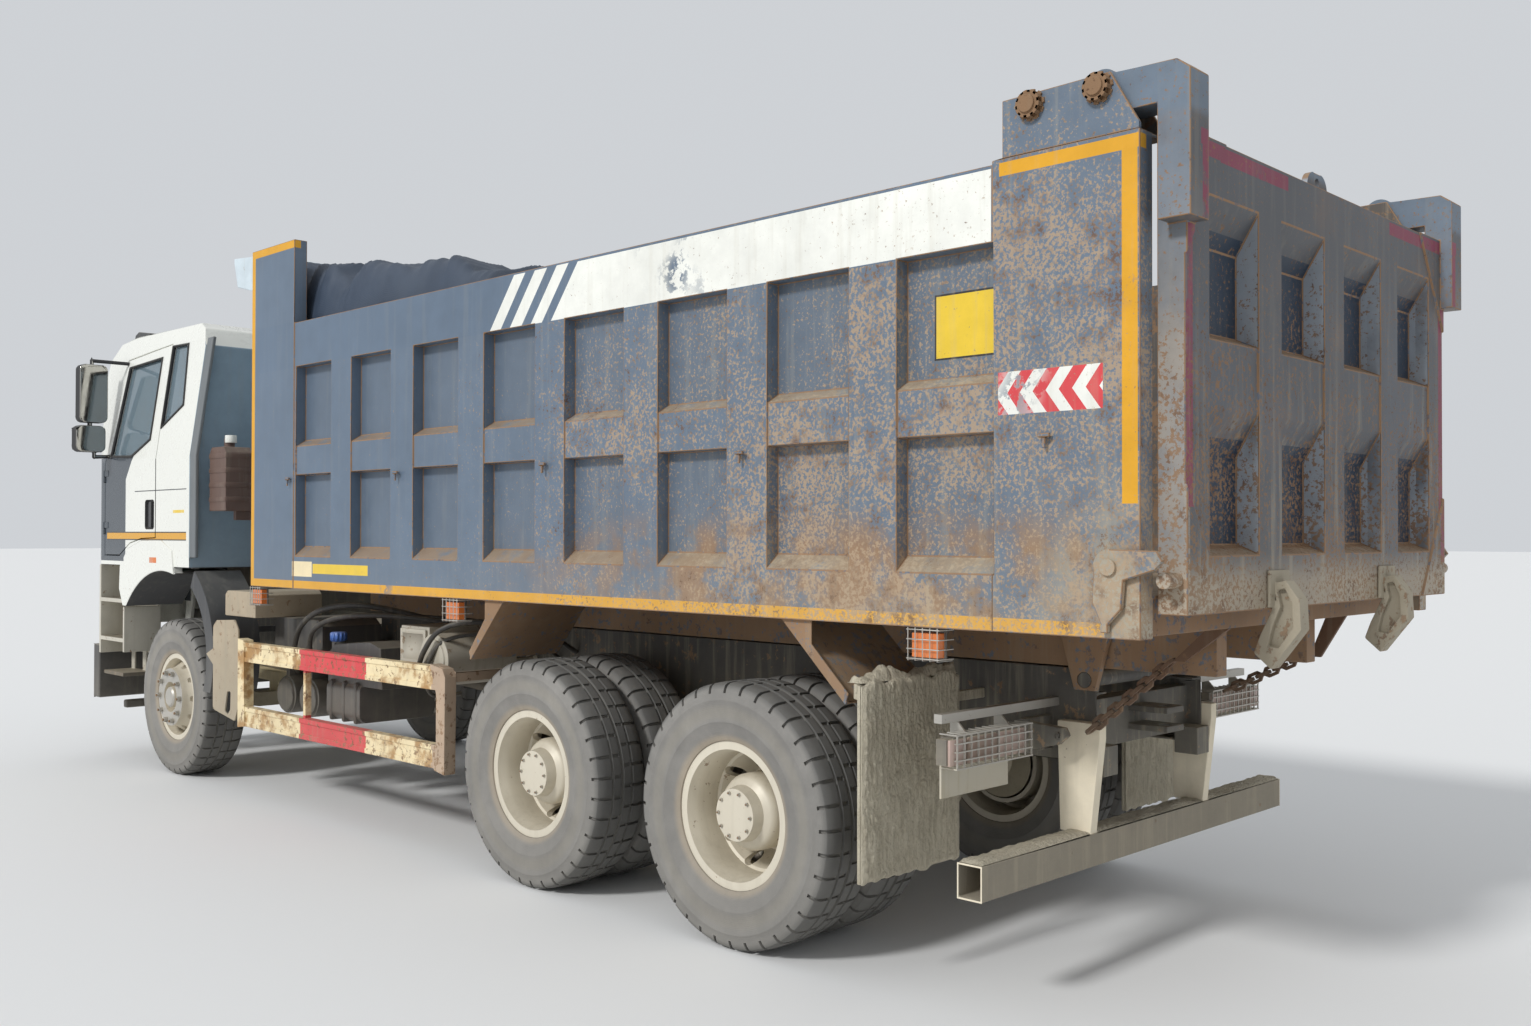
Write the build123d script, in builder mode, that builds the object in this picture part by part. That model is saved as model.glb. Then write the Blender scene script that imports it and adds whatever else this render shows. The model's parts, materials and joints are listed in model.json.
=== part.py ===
from build123d import *

# Six-wheel tipper truck with a box body, in millimetres.
# The front of the truck faces -Y, its left side is +X, and Z = 0 is the ground.

# Driving dimensions
front_axle_y = -3060
front_overhang = 1445
front_y = front_axle_y - front_overhang
wheelbase = 4200
bogie_spacing = 1350
mid_axle_y = front_axle_y + wheelbase
rear_axle_y = mid_axle_y + bogie_spacing
body_width = 2500
side_x = body_width / 2
gap = 6
seat = 0.3
pin_fit = 0.1

# Wheels
tyre_radius = 535
tyre_width = 304
tyre_shoulder_radius = 516
tread_width = 250
bead_radius = 286
rim_radius = 297
rim_width = 236
rim_wall = 12
rim_well_radius = 262
rear_outer_x = 1249
twin_spacing = 340
front_outer_x = 1168
front_tyre_x = front_outer_x - tyre_width / 2
rear_tyre_x = rear_outer_x - tyre_width / 2
twin_tyre_x = rear_tyre_x - twin_spacing
twin_disc_x = (rear_tyre_x + twin_tyre_x) / 2
hub_z = tyre_radius
spindle_radius = 38
spindle_end_x = 1150
hub_inner_x = 880
drum_radius = 206
drum_wall = 20
hand_hole_radius = 24
hand_hole_circle = 225
hand_hole_count = 10

# Frame
rail_x = 430
rail_web = 9
rail_flange = 80
rail_bottom_z = 790
rail_top_z = 1060
rail_front_y = front_y + 65
rail_rear_y = 3670
subframe_height = 90
subframe_front_y = -1560
subframe_top_z = rail_top_z + subframe_height
subframe_rear_y = 3560
cross_member_y = (-4150, -2010, -1350, -300, 760, 1815, 2960, 3560)
tow_pin_y = 3730
tow_pin_radius = 25
anchor_x = 590

# Tip hinge of the body
tip_y = 3640
tip_z = 1110
tip_pin_radius = 30
tip_ear_width = 30
tip_lug_x = (rail_x + gap, rail_x + gap + tip_ear_width)

# Body
body_front_y = -1700
body_rear_y = 4305
post_length = 546
post_top_z = 3398
body_bottom_z = 1339
side_depth = 68
side_skin = 12
skin_x = side_x - side_depth
inner_x = skin_x - side_skin
side_top_z = 2905
rail_low_z = side_top_z - 261
panel_step = 4
pocket_first_y = -1135
pocket_pitch = 641
pocket_length = 415
pocket_count = 8
rear_panel_y = 3761
rear_panel_top_z = 2917
ledge_low_z = body_bottom_z + 191
ledge_high_z = ledge_low_z + 56
bar_bottom_z = 2007
bar_face_z = 2175
bar_slope_z = 2210
bar_inset = 6
floor_top_z = 1475
floor_plate = 10
beam_bottom_z = subframe_top_z + gap
beam_width = 80
beam_x = 390
canopy_reach = 430

# Tailgate
gate_half = 1156
gate_front_y = body_rear_y + gap
gate_rear_y = gate_front_y + 93
gate_bottom_z = 1415
gate_top_z = rear_panel_top_z
gate_skin = 12
gate_column = 166
gate_rib_x = (-545, 0, 545)
gate_rib = 182
gate_beam_low_z = gate_bottom_z + 182
gate_beam_high_z = gate_top_z - 177
gate_bar_low_z = 2066
gate_bar_high_z = 2286
gate_ledge = 34
gate_ceiling = 140
gate_gusset = 8

# Tailgate hinges, on top of the body's sides
hinge_y = 4163
hinge_z = rear_panel_top_z + 153
ear_y = (3800, 4301)
ear_top_z = rear_panel_top_z + 198
ear_plate = 14
ear_outer_x = side_x - 2
ear_pin_y = (3915, hinge_y)
arm_outer_x = ear_outer_x - ear_plate - gap
arm_inner_x = 1107
arm_end_radius = 84
arm_y = (gate_rear_y - 54, gate_rear_y + 56)
arm_bottom_z = 2628
pin_radius = 22

# Lock lever on each side, and the chains and claws under the tailgate
lever_y = hinge_y + 49
lever_z = 1563
lever_plate = 20
claw_x = (-480, 510)
chain_x = (-520, 510)
claw_width = 72
claw_web = 24
link_bar = 13
link_inner = 42
link_width = 46

# Cab
cab_rear_y = -2640
cab_roof_z = 3104
cab_floor_z = 1430
cab_waist_z = 2180
cab_wall = 55
cab_half = 1235
cab_top_half = 1120
door_cut_x = cab_top_half - 100
apron_bottom_z = 962
apron_rear_y = front_y + 265
tunnel_half = 470
tunnel_top_z = 1690
door_front_y = front_y + 390
door_rear_y = -3195
door_bottom_z = 1500
door_gap = 6
tilt_y = front_y + 125
tilt_z = 880
tilt_pin_radius = 22
tilt_lug_radius = 42
tilt_lug_x = (482, 514)
cab_rest_y = (-2760, -2680)
cab_rest_x = (490, 560)
door_hinge_x = cab_half + 2
door_hinge_y = door_front_y - 6
door_hinge_z = (1700, 2080)
door_hinge_radius = 11
door_hinge_pin = 5
door_hinge_half = 45
arch_radius = 868
arch_liner = 12
flare_x = cab_half + 12
bumper_z = (430, 828)
bumper_rear_y = front_y + 240

# Rear springs, which rock on a trunnion between the two driven axles
bogie_y = (mid_axle_y + rear_axle_y) / 2
bogie_pin_z = 690
rear_spring_x = 520
spring_width = 90

# Hoist ahead of the headboard
hoist_y = -1905
hoist_base_z = 930
hoist_eye_z = 1500
hoist_cover_top_z = 2790
hoist_radius = (52, 72, 92, 112)
hoist_wall = 16
hoist_clearance = 0.3
hoist_pin_radius = 30
hoist_cheek_x = (96, 126)


# Adds a box given by its limits along each axis.
def block(x, y, z, mode=Mode.ADD):
    with Locations(((x[0] + x[1]) / 2, (y[0] + y[1]) / 2, (z[0] + z[1]) / 2)):
        Box(abs(x[1] - x[0]), abs(y[1] - y[0]), abs(z[1] - z[0]), mode=mode)


# Adds a prism between two X positions, whose outline is drawn in the side view as (Y, Z).
def side_prism(outline, x, mode=Mode.ADD, corner=0):
    with BuildSketch(Plane.YZ.offset(x[0])) as profile:
        Polygon(*outline, align=None)
        if corner:
            fillet(profile.vertices(), corner)
    extrude(profile.sketch, amount=x[1] - x[0], dir=(1, 0, 0), mode=mode)


# Adds a prism between two Y positions, whose outline is drawn in the front view as (X, Z).
def end_prism(outline, y, mode=Mode.ADD):
    with BuildSketch(Plane.XZ.offset(-y[0])) as profile:
        Polygon(*outline, align=None)
    extrude(profile.sketch, amount=y[1] - y[0], dir=(0, 1, 0), mode=mode)


# Adds a prism between two heights, whose outline is drawn in the top view as (X, Y).
def flat_prism(outline, z, mode=Mode.ADD):
    with BuildSketch(Plane.XY.offset(z[0])) as profile:
        Polygon(*outline, align=None)
    extrude(profile.sketch, amount=z[1] - z[0], dir=(0, 0, 1), mode=mode)


# Adds a box along Y with rounded corners in the front view, such as a tank.
def rounded_bar_y(x, y, z, corner):
    with BuildSketch(Plane.XZ.offset(-y[0])) as profile:
        with Locations(((x[0] + x[1]) / 2, (z[0] + z[1]) / 2)):
            RectangleRounded(abs(x[1] - x[0]), abs(z[1] - z[0]), corner)
    extrude(profile.sketch, amount=y[1] - y[0], dir=(0, 1, 0))


# Adds a round bar along X.
def bar_x(x, y, z, radius, mode=Mode.ADD):
    with BuildSketch(Plane.YZ.offset(x[0])) as profile:
        with Locations((y, z)):
            Circle(radius)
    extrude(profile.sketch, amount=x[1] - x[0], dir=(1, 0, 0), mode=mode)


# Adds a round bar along Y.
def bar_y(x, y, z, radius, mode=Mode.ADD):
    with BuildSketch(Plane.XZ.offset(-y[0])) as profile:
        with Locations((x, z)):
            Circle(radius)
    extrude(profile.sketch, amount=y[1] - y[0], dir=(0, 1, 0), mode=mode)


# Adds an upright round bar.
def bar_z(x, y, z, radius, mode=Mode.ADD):
    with BuildSketch(Plane.XY.offset(z[0])) as profile:
        with Locations((x, y)):
            Circle(radius)
    extrude(profile.sketch, amount=z[1] - z[0], dir=(0, 0, 1), mode=mode)


# Adds a round rod between two points.
def rod(start, end, radius):
    run = Vector(*end) - Vector(*start)
    with BuildSketch(Plane(origin=start, z_dir=run)) as profile:
        Circle(radius)
    extrude(profile.sketch, amount=run.length)


# Adds a ring turned about an axle along X, from a section drawn as (X, radius).
def turned(section, y, z, mode=Mode.ADD):
    axle = Plane(origin=(0, y, z), x_dir=(1, 0, 0), z_dir=(0, -1, 0))
    with BuildSketch(axle) as profile:
        Polygon(*section, align=None)
    revolve(profile.sketch, axis=Axis((0, y, z), (1, 0, 0)), mode=mode)


# Cuts a circle of holes along X.
def hole_circle(x, y, z, circle, radius, count):
    with BuildSketch(Plane.YZ.offset(x[0])) as profile:
        with Locations((y, z)):
            with PolarLocations(circle, count):
                Circle(radius)
    extrude(profile.sketch, amount=x[1] - x[0], dir=(1, 0, 0), mode=Mode.SUBTRACT)


# Adds a plate on the outer face of a rail and an arm that reaches out from it.
def rail_arm(reach, y, z):
    side = 1 if reach > 0 else -1
    block((side * (rail_x + seat), side * (rail_x + 14)), (y - 50, y + 50), (rail_bottom_z + 12, rail_bottom_z + 190))
    block((side * (rail_x + seat), reach), (y - 20, y + 20), z)


def finish_part(part, name):
    part.label = name
    export_step(part, f"parts/{name}.step")


# Frame with its subframe, the tip hinge's ears, the hoist's foot, the cab's rests and the chain anchors
with BuildPart() as frame:
    rail_section = [(rail_x, rail_bottom_z), (rail_x, rail_top_z), (rail_x - rail_flange, rail_top_z),
                    (rail_x - rail_flange, rail_top_z - rail_web), (rail_x - rail_web, rail_top_z - rail_web),
                    (rail_x - rail_web, rail_bottom_z + rail_web),
                    (rail_x - rail_flange, rail_bottom_z + rail_web), (rail_x - rail_flange, rail_bottom_z)]
    end_prism(rail_section, (rail_front_y, rail_rear_y))
    block((rail_x - rail_flange, rail_x), (subframe_front_y, subframe_rear_y), (rail_top_z, subframe_top_z))
    side_prism([(subframe_rear_y, rail_top_z), (tip_y - 50, tip_z - 80), (tip_y + 25, tip_z - 60),
                (tip_y + 35, tip_z), (tip_y + 20, tip_z + 35), (tip_y - 20, tip_z + 38),
                (subframe_rear_y - 60, subframe_top_z), (subframe_rear_y - 60, rail_top_z)],
               (rail_x - tip_ear_width, rail_x))
    block((rail_x - 105, rail_x - 1), (rail_rear_y - 70, rail_rear_y + 35), (rail_bottom_z - 48, rail_bottom_z + 66))
    block((rail_x - 5, anchor_x + 20), (rail_rear_y - 230, rail_rear_y - 190), (rail_bottom_z + 40, rail_bottom_z + 170))
    side_prism([(rail_rear_y - 200, rail_bottom_z + 50), (rail_rear_y - 60, rail_bottom_z + 85),
                (rail_rear_y - 20, rail_bottom_z + 120), (rail_rear_y - 35, rail_bottom_z + 150),
                (rail_rear_y - 200, rail_bottom_z + 160)], (anchor_x - 18, anchor_x + 18))
    mirror(about=Plane.YZ)
    for y in cross_member_y:
        block((-rail_x + rail_web, rail_x - rail_web), (y - 45, y + 45), (rail_bottom_z + 40, rail_top_z - 40))
    bar_x((-tip_lug_x[1], tip_lug_x[1]), tip_y, tip_z, tip_pin_radius)
    for side in (-1, 1):
        x = (side * hoist_cheek_x[0], side * hoist_cheek_x[1])
        block(x, (cross_member_y[1] + 45, hoist_y + 50), (hoist_base_z - 60, hoist_base_z + 55))
        bar_x(x, hoist_y, hoist_base_z, hoist_pin_radius + pin_fit, mode=Mode.SUBTRACT)
        bar_x((side * (rail_x - rail_web), side * (tilt_lug_x[1] + 12)), tilt_y, tilt_z, tilt_pin_radius)
        block((side * (rail_x - 5), side * cab_rest_x[1]), cab_rest_y, (rail_top_z - 90, rail_top_z - 20))
        block((side * cab_rest_x[0], side * cab_rest_x[1]), cab_rest_y, (rail_top_z - 90, cab_floor_z - seat))
        block((side * (rail_x - 30), side * rail_x), (bogie_y - 160, bogie_y + 160), (bogie_pin_z - 60, rail_bottom_z))
        bar_x((side * anchor_x - 24, side * anchor_x + 24), rail_rear_y - 55, rail_bottom_z + 118, 12)

    for z in (880, 955):
        block((-70, 70), (cross_member_y[-1] + 40, tow_pin_y + 45), (z, z + 25))
    bar_z(0, tow_pin_y, (870, 990), tow_pin_radius, mode=Mode.SUBTRACT)

finish_part(frame.part, "frame")

# Front beam, the two driven housings, their brake chambers and backing plates
front_beam_y = (front_axle_y - 50, front_axle_y + 50)
beam_z = (420, 520)
beam_end_z = (470, 600)
king_x = 880
king_pin_radius = 20
king_boss_radius = 45
housing_radius = 75
differential_radius = 215
pinion_reach = 330
pinion_z = hub_z + 40
output_reach = 250
through_shaft_z = hub_z + 25
chamber_radius = 72
backing_x = 655
with BuildPart() as axles:
    end_prism([(-king_x, beam_end_z[0]), (-king_x, beam_end_z[1]), (-king_x + 60, beam_end_z[1]), (-560, beam_z[1]),
               (560, beam_z[1]), (king_x - 60, beam_end_z[1]), (king_x, beam_end_z[1]), (king_x, beam_end_z[0]),
               (king_x - 60, beam_end_z[0]), (560, beam_z[0]), (-560, beam_z[0]), (-king_x + 60, beam_end_z[0])],
              front_beam_y)
    for side in (-1, 1):
        bar_z(side * king_x, front_axle_y, beam_end_z, king_boss_radius)
        bar_z(side * king_x, front_axle_y, (beam_end_z[0] - 5, beam_end_z[1] + 5), king_pin_radius + pin_fit,
              mode=Mode.SUBTRACT)
    for y in (mid_axle_y, rear_axle_y):
        bar_x((seat - hub_inner_x, hub_inner_x - seat), y, hub_z, housing_radius)
        with Locations((0, y, hub_z)):
            Sphere(differential_radius)
        bar_y(0, (y - pinion_reach, y), pinion_z, 95)
        for side in (-1, 1):
            bar_x((side * backing_x, side * (backing_x + 14)), y, hub_z, drum_radius - drum_wall - 8)
            bar_y(side * 330, (y + 110, y + 250), hub_z + 70, chamber_radius)
            block((side * 310, side * 350), (y + 40, y + 115), (hub_z + 20, hub_z + 90))
    bar_y(0, (mid_axle_y, mid_axle_y + output_reach), through_shaft_z, 75)

finish_part(axles.part, "axles")

# Leaf springs, each leaf shorter than the one before it
leaf_thickness = 18
front_leaf_count = 4
rear_leaf_count = 9
# middle Y, Z of the longest leaf, its half length, rise of its ends, shortening, leaves, step in Z, inner X
leaf_packs = [(front_axle_y, 640, 820, 60, 150, front_leaf_count, -leaf_thickness, rail_x - spring_width),
              (bogie_y, 745, 690, -45, 62, rear_leaf_count, leaf_thickness, rear_spring_x - spring_width / 2)]
with BuildPart() as springs:
    for y, z, half, rise, shortening, leaves, step, inner in leaf_packs:
        for leaf in range(leaves):
            leaf_half = half - shortening * leaf
            leaf_z = z + step * leaf
            leaf_rise = rise * (leaf_half / half) ** 2
            with BuildSketch(Plane.YZ.offset(inner)):
                with BuildLine():
                    lower = ThreePointArc((y - leaf_half, leaf_z + leaf_rise), (y, leaf_z),
                                          (y + leaf_half, leaf_z + leaf_rise))
                    upper = ThreePointArc((y - leaf_half, leaf_z + leaf_rise + leaf_thickness),
                                          (y, leaf_z + leaf_thickness),
                                          (y + leaf_half, leaf_z + leaf_rise + leaf_thickness))
                    Line(lower @ 0, upper @ 0)
                    Line(lower @ 1, upper @ 1)
                make_face()
            extrude(amount=spring_width)
    for end in (-1, 1):
        y = front_axle_y + 800 * end
        block((rail_x - spring_width, rail_x), (y - 30, y + 30), (700, rail_bottom_z - seat))
    block((rail_x - spring_width, rail_x), (front_axle_y - 70, front_axle_y + 70), (beam_z[1] + seat, 600))
    trunnion_x = (rail_x + seat, rear_spring_x + spring_width / 2)
    bar_x(trunnion_x, bogie_y, bogie_pin_z, 80)
    block(trunnion_x, (bogie_y - 110, bogie_y + 110), (bogie_pin_z - 30, bogie_pin_z + 60))
    for y in (bogie_y - 70, bogie_y + 56):
        block((rear_spring_x - spring_width / 2 - 12, rear_spring_x + spring_width / 2 + 12), (y, y + 14),
              (bogie_pin_z + 40, 755 + rear_leaf_count * leaf_thickness))
    for y in (mid_axle_y, rear_axle_y):
        block((rear_spring_x - spring_width / 2, rear_spring_x + spring_width / 2), (y - 55, y + 55),
              (hub_z + housing_radius + seat, 706))
    mirror(about=Plane.YZ)

finish_part(springs.part, "springs")

# Engine, gearbox and propeller shafts
engine_half = 340
engine_y = (-4040, -2860)
engine_z = (640, 1530)
gearbox_rear_y = -2080
gearbox_z = 900
gearbox_radius = 190
with BuildPart() as powertrain:
    block((-engine_half, engine_half), engine_y, engine_z)
    bar_y(0, (engine_y[1] - 10, gearbox_rear_y), gearbox_z, gearbox_radius)
    for side in (-1, 1):
        block((side * (engine_half - 5), side * (rail_x - rail_web - seat)), (-3560, -3440), (880, 980))
    rod((0, gearbox_rear_y - 20, gearbox_z - 130), (0, mid_axle_y - pinion_reach - 14, pinion_z + 3), 50)
    bar_y(0, (mid_axle_y - pinion_reach - 24, mid_axle_y - pinion_reach - seat), pinion_z, 80)
    bar_y(0, (mid_axle_y + output_reach + seat, rear_axle_y - pinion_reach - seat), through_shaft_z, 45)

finish_part(powertrain.part, "powertrain")

# Air tanks, urea tank, fuel tank and the coolant expansion tank
air_tank_radius = 118
air_tank_z = 648
with BuildPart() as tanks:
    for y in (-1745, -1450):
        bar_x((640, 1000), y, air_tank_z, air_tank_radius - 14)
        bar_x((655, 985), y, air_tank_z, air_tank_radius)
        rail_arm(980, y, (air_tank_z + air_tank_radius - 12, rail_bottom_z + 20))
    rounded_bar_y((560, 1060), (-1101, -714), (568, 797), 50)
    side_prism([(-1120, 780), (-1120, 950), (-1040, 1010), (-640, 1040), (-520, 1010), (-500, 780)], (560, 1040))
    bar_z(1000, -1060, (940, 1035), 42)
    rail_arm(600, -907, (rail_bottom_z - 25, rail_bottom_z + 40))
    rounded_bar_y((-1120, -560), (-1050, 350), (500, 1050), 90)
    bar_z(-900, -820, (1040, 1085), 55)
    for y in (-900, 200):
        rail_arm(-600, y, (880, 940))
        rounded_bar_y((-1126, -554), (y - 30, y + 30), (494, 1056), 94)
    side_prism([(-2500, 1810), (-2500, 2190), (-2470, 2230), (-2290, 2230), (-2255, 2190), (-2255, 1810)], (980, 1160))
    bar_z(1070, -2400, (2225, 2290), 34)
    rail_arm(500, -2320, (900, 960))
    block((460, 500), (-2340, -2300), (940, 1790))
    block((460, 1070), (-2340, -2300), (1750, 1812))

finish_part(tanks.part, "tanks")

# Battery box, filter drum, grey box and the small boxes beside the rail
tank_arm_z = rail_bottom_z + 20 + seat
with BuildPart() as service_boxes:
    block((560, 1000), (-366, -79), (930, 1152))
    block((995, 1008), (-346, -99), (950, 1132))
    rail_arm(570, -250, (940, 975))
    bar_x((640, 1080), 90, 990, 140)
    bar_x((1075, 1090), 90, 990, 112)
    rail_arm(660, 90, (900, 970))
    side_prism([(-2270, 1130), (-2270, 1270), (-2240, 1293), (-1870, 1293), (-1842, 1270), (-1842, 1130)], (700, 1150))
    rail_arm(760, -2050, (920, 975))
    block((720, 760), (-2070, -2030), (960, 1140))
    side_prism([(-1960, tank_arm_z), (-1960, 1090), (-1910, 1128), (-1400, 1128), (-1340, 1090), (-1340, tank_arm_z)],
               (560, 960))
    rounded_bar_y((-1120, -560), (-2150, -1300), (560, 1050), 25)
    block((-1128, -555), (-2160, -1290), (985, 1008))
    for y in (-1980, -1480):
        rail_arm(-570, y, (880, 940))

finish_part(service_boxes.part, "service_boxes")

# Side guards: two rolled rails on each side, their posts and stays
guard_x = 1200
guard_tube = 60
guard_rail = 122
guard_groove = 8
with BuildPart() as side_guards:
    for low_z in (452, 856):
        block((guard_x - guard_tube, guard_x), (-1920, 340), (low_z, low_z + guard_rail))
        block((guard_x - guard_groove, guard_x + 1), (-1921, 341), (low_z + 28, low_z + guard_rail - 28),
              mode=Mode.SUBTRACT)
    side_prism([(-1968, 440), (-1872, 452), (-1884, 990), (-1968, 1000)], (guard_x - guard_tube, guard_x + 6))
    side_prism([(255, 990), (375, 972), (402, 930), (396, 430), (300, 446), (318, 590), (318, 840)],
               (guard_x - guard_tube, guard_x + 10))
    block((guard_x - guard_tube, guard_x - 20), (-1156, -1128), (452, 978))
    for y in (-1225, 378):
        block((rail_x + seat, guard_x - guard_tube + 1), (y - 12, y + 12), (900, 950))
    mirror(about=Plane.YZ)

finish_part(side_guards.part, "side_guards")

# Curved guards behind the front wheels, the plates behind them and the rear flaps
guard_top = (-2640, 1412)
guard_knee = (-2392, 1130)
guard_foot = (-2380, 620)
flap_y = (3170, 3185)
with BuildPart() as mudguards:
    for inset, x in ((9, (880, guard_x)), (112, (guard_x - 8, guard_x))):
        with BuildSketch(Plane.YZ.offset(x[0])) as curved_guard:
            with BuildLine():
                outer = ThreePointArc(guard_top, guard_knee, guard_foot)
                inner = ThreePointArc((guard_top[0] - inset / 2, guard_top[1] - inset),
                                      (guard_knee[0] - inset, guard_knee[1] - inset / 3),
                                      (guard_foot[0] - inset, guard_foot[1]))
                Line(outer @ 0, inner @ 0)
                Line(outer @ 1, inner @ 1)
            make_face()
        extrude(curved_guard.sketch, amount=x[1] - x[0])
    side_prism([(-2341, 520), (-2341, 1060), (-2290, 1100), (-2030, 1113), (-1976, 1050), (-1975, 560), (-2020, 470),
                (-2080, 480)], (guard_x - 12, guard_x), corner=24)
    side_prism([(-2165, 520), (-2130, 650), (-2080, 655), (-2085, 540), (-2120, 505)], (guard_x - 20, guard_x + 1),
               mode=Mode.SUBTRACT, corner=14)
    block((rail_x + seat, 890), (guard_knee[0] - 20, guard_knee[0] + 2), (1000, 1040))
    block((rail_x + seat, guard_x - 8), (-2240, -2200), (800, 860))
    block((647, 1247), flap_y, (388, 1112))
    block((640, 1250), (flap_y[0] - 14, flap_y[0] + 2), (1062, 1118))
    block((rail_x + seat, 660), (flap_y[0] - 30, flap_y[0] - 8), (1000, 1040))
    block((640, 664), (flap_y[0] - 30, flap_y[0] - 8), (1000, 1080))
    mirror(about=Plane.YZ)

finish_part(mudguards.part, "mudguards")


# Adds a cage of square wires behind, above, below and outside a lamp.
def lamp_cage(x, y, z, columns, rows, wire):
    places = [x[0] + (x[1] - x[0]) / columns * index for index in range(columns + 1)]
    heights = [z[0] + (z[1] - z[0]) / rows * index for index in range(rows + 1)]
    middle = (y[0] + y[1]) / 2
    with Locations(*[(place, y[1], (z[0] + z[1]) / 2) for place in places]):
        Box(wire, wire, z[1] - z[0] + wire)
    with Locations(*[(place, middle, height) for place in places for height in z]):
        Box(wire, y[1] - y[0] + wire, wire)
    with Locations(*[((x[0] + x[1]) / 2, y[1] + wire / 2, height) for height in heights]):
        Box(x[1] - x[0] + wire, wire, wire)
    with Locations(*[(x[1] + wire / 2, middle, height) for height in heights]):
        Box(wire, y[1] - y[0] + wire, wire)


# Rear lamps in their cages on a cross arm, and the number plate
underrun_plate = 50
tail_lamp_x = (728, 1190)
tail_lamp_y = (3506, 3576)
tail_lamp_z = (848, 966)
with BuildPart() as tail_lamps:
    block(tail_lamp_x, (tail_lamp_y[0], tail_lamp_y[1] - 16), (tail_lamp_z[0] + 10, tail_lamp_z[1] - 10))
    block((tail_lamp_x[1] - 40, tail_lamp_x[1] + 36), (tail_lamp_y[0] + 6, tail_lamp_y[1] - 20),
          (tail_lamp_z[0] + 14, tail_lamp_z[1] - 14))
    lamp_cage(tail_lamp_x, tail_lamp_y, tail_lamp_z, 11, 4, 5)
    block((rail_x + seat, 1190), (3476, 3510), (1000, 1032))
    for x in (820, 1090):
        side_prism([(3478, 1002), (3508, 1002), (3548, tail_lamp_z[1] - 4), (3508, tail_lamp_z[1] - 14),
                    (3478, tail_lamp_z[1] - 40)], (x, x + 8))
    mirror(about=Plane.YZ)
    block((780, 1190), (3500, 3508), (738, 862))

finish_part(tail_lamps.part, "tail_lamps")

# Underrun bar: an open square tube on two folded posts
underrun_y = (3575, 3679)
underrun_z = (405, 530)
underrun_half = 1190
post_y = (3530, 3716)
with BuildPart() as underrun_bar:
    block((-underrun_half, underrun_half), underrun_y, underrun_z)
    block((-underrun_half, underrun_half), (underrun_y[0] + 6, underrun_y[1] - 6),
          (underrun_z[0] + 6, underrun_z[1] - 6), mode=Mode.SUBTRACT)
    for side in (-1, 1):
        side_prism([(post_y[0], 950), (post_y[0] + 12, underrun_z[1] - 2), (underrun_y[1] - 4, underrun_z[1] - 2),
                    (post_y[1], 890), (post_y[1], 950)], (side * (rail_x + seat), side * (rail_x + underrun_plate)))

finish_part(underrun_bar.part, "underrun_bar")

# Front bumper with its lamps, and the lower bar under it
bumper_corner = 120
with BuildPart() as bumper:
    with BuildSketch(Plane.XY.offset(bumper_z[0])) as bumper_plan:
        Polygon((-1215, bumper_rear_y), (-1215, front_y + 110), (-1000, front_y), (1000, front_y),
                (1215, front_y + 110), (1215, bumper_rear_y), (rail_x + seat, bumper_rear_y),
                (rail_x + seat, rail_front_y - seat), (-rail_x - seat, rail_front_y - seat),
                (-rail_x - seat, bumper_rear_y), align=None)
        fillet([corner for corner in bumper_plan.vertices() if corner.Y < front_y + 1], bumper_corner)
        fillet([corner for corner in bumper_plan.vertices() if abs(corner.Y - front_y - 110) < 1], bumper_corner / 2)
    extrude(bumper_plan.sketch, amount=bumper_z[1] - bumper_z[0])
    block((-520, 520), (front_y - 5, front_y + 22), (bumper_z[0] + 60, bumper_z[0] + 190), mode=Mode.SUBTRACT)
    with Locations(*[(0, front_y + 16, bumper_z[0] + height) for height in (92, 125, 158)]):
        Box(1042, 22, 14)
    for side in (-1, 1):
        block((side * 700, side * 1050), (front_y - 5, front_y + 60), (bumper_z[0] + 190, bumper_z[1] - 50),
              mode=Mode.SUBTRACT)
        for x, radius in ((790, 62), (950, 68)):
            bar_y(side * x, (front_y + 14, front_y + 62), (bumper_z[0] + bumper_z[1] + 140) / 2, radius)
        block((side * 340, side * 420), (front_y + 30, front_y + 200), (380, bumper_z[0] + 5))
    block((-1000, 1000), (front_y + 140, front_y + 200), (330, 390))

finish_part(bumper.part, "bumper")

# Boarding steps at both corners of the cab, two treads between a front and a rear cheek
step_x = (960, 1225)
step_y = (apron_rear_y + seat, -3765)
with BuildPart() as steps:
    block(step_x, (step_y[0], step_y[0] + 26), (771, cab_floor_z - seat))
    block((step_x[0], step_x[0] + 14), step_y, (771, cab_floor_z - seat))
    block(step_x, (step_y[1] - 26, step_y[1]), (800, 1128))
    for z in (870, 1156):
        block(step_x, (step_y[0] + 10, step_y[1] - 10), (z, z + 30))
    for y in (step_y[0] + 90, step_y[0] + 300):
        block((1010, 1024), (y, y + 60), (640, 880))
    block((1000, 1210), (step_y[0] + 60, step_y[0] + 420), (620, 646))
    mirror(about=Plane.YZ)

finish_part(steps.part, "steps")

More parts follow.
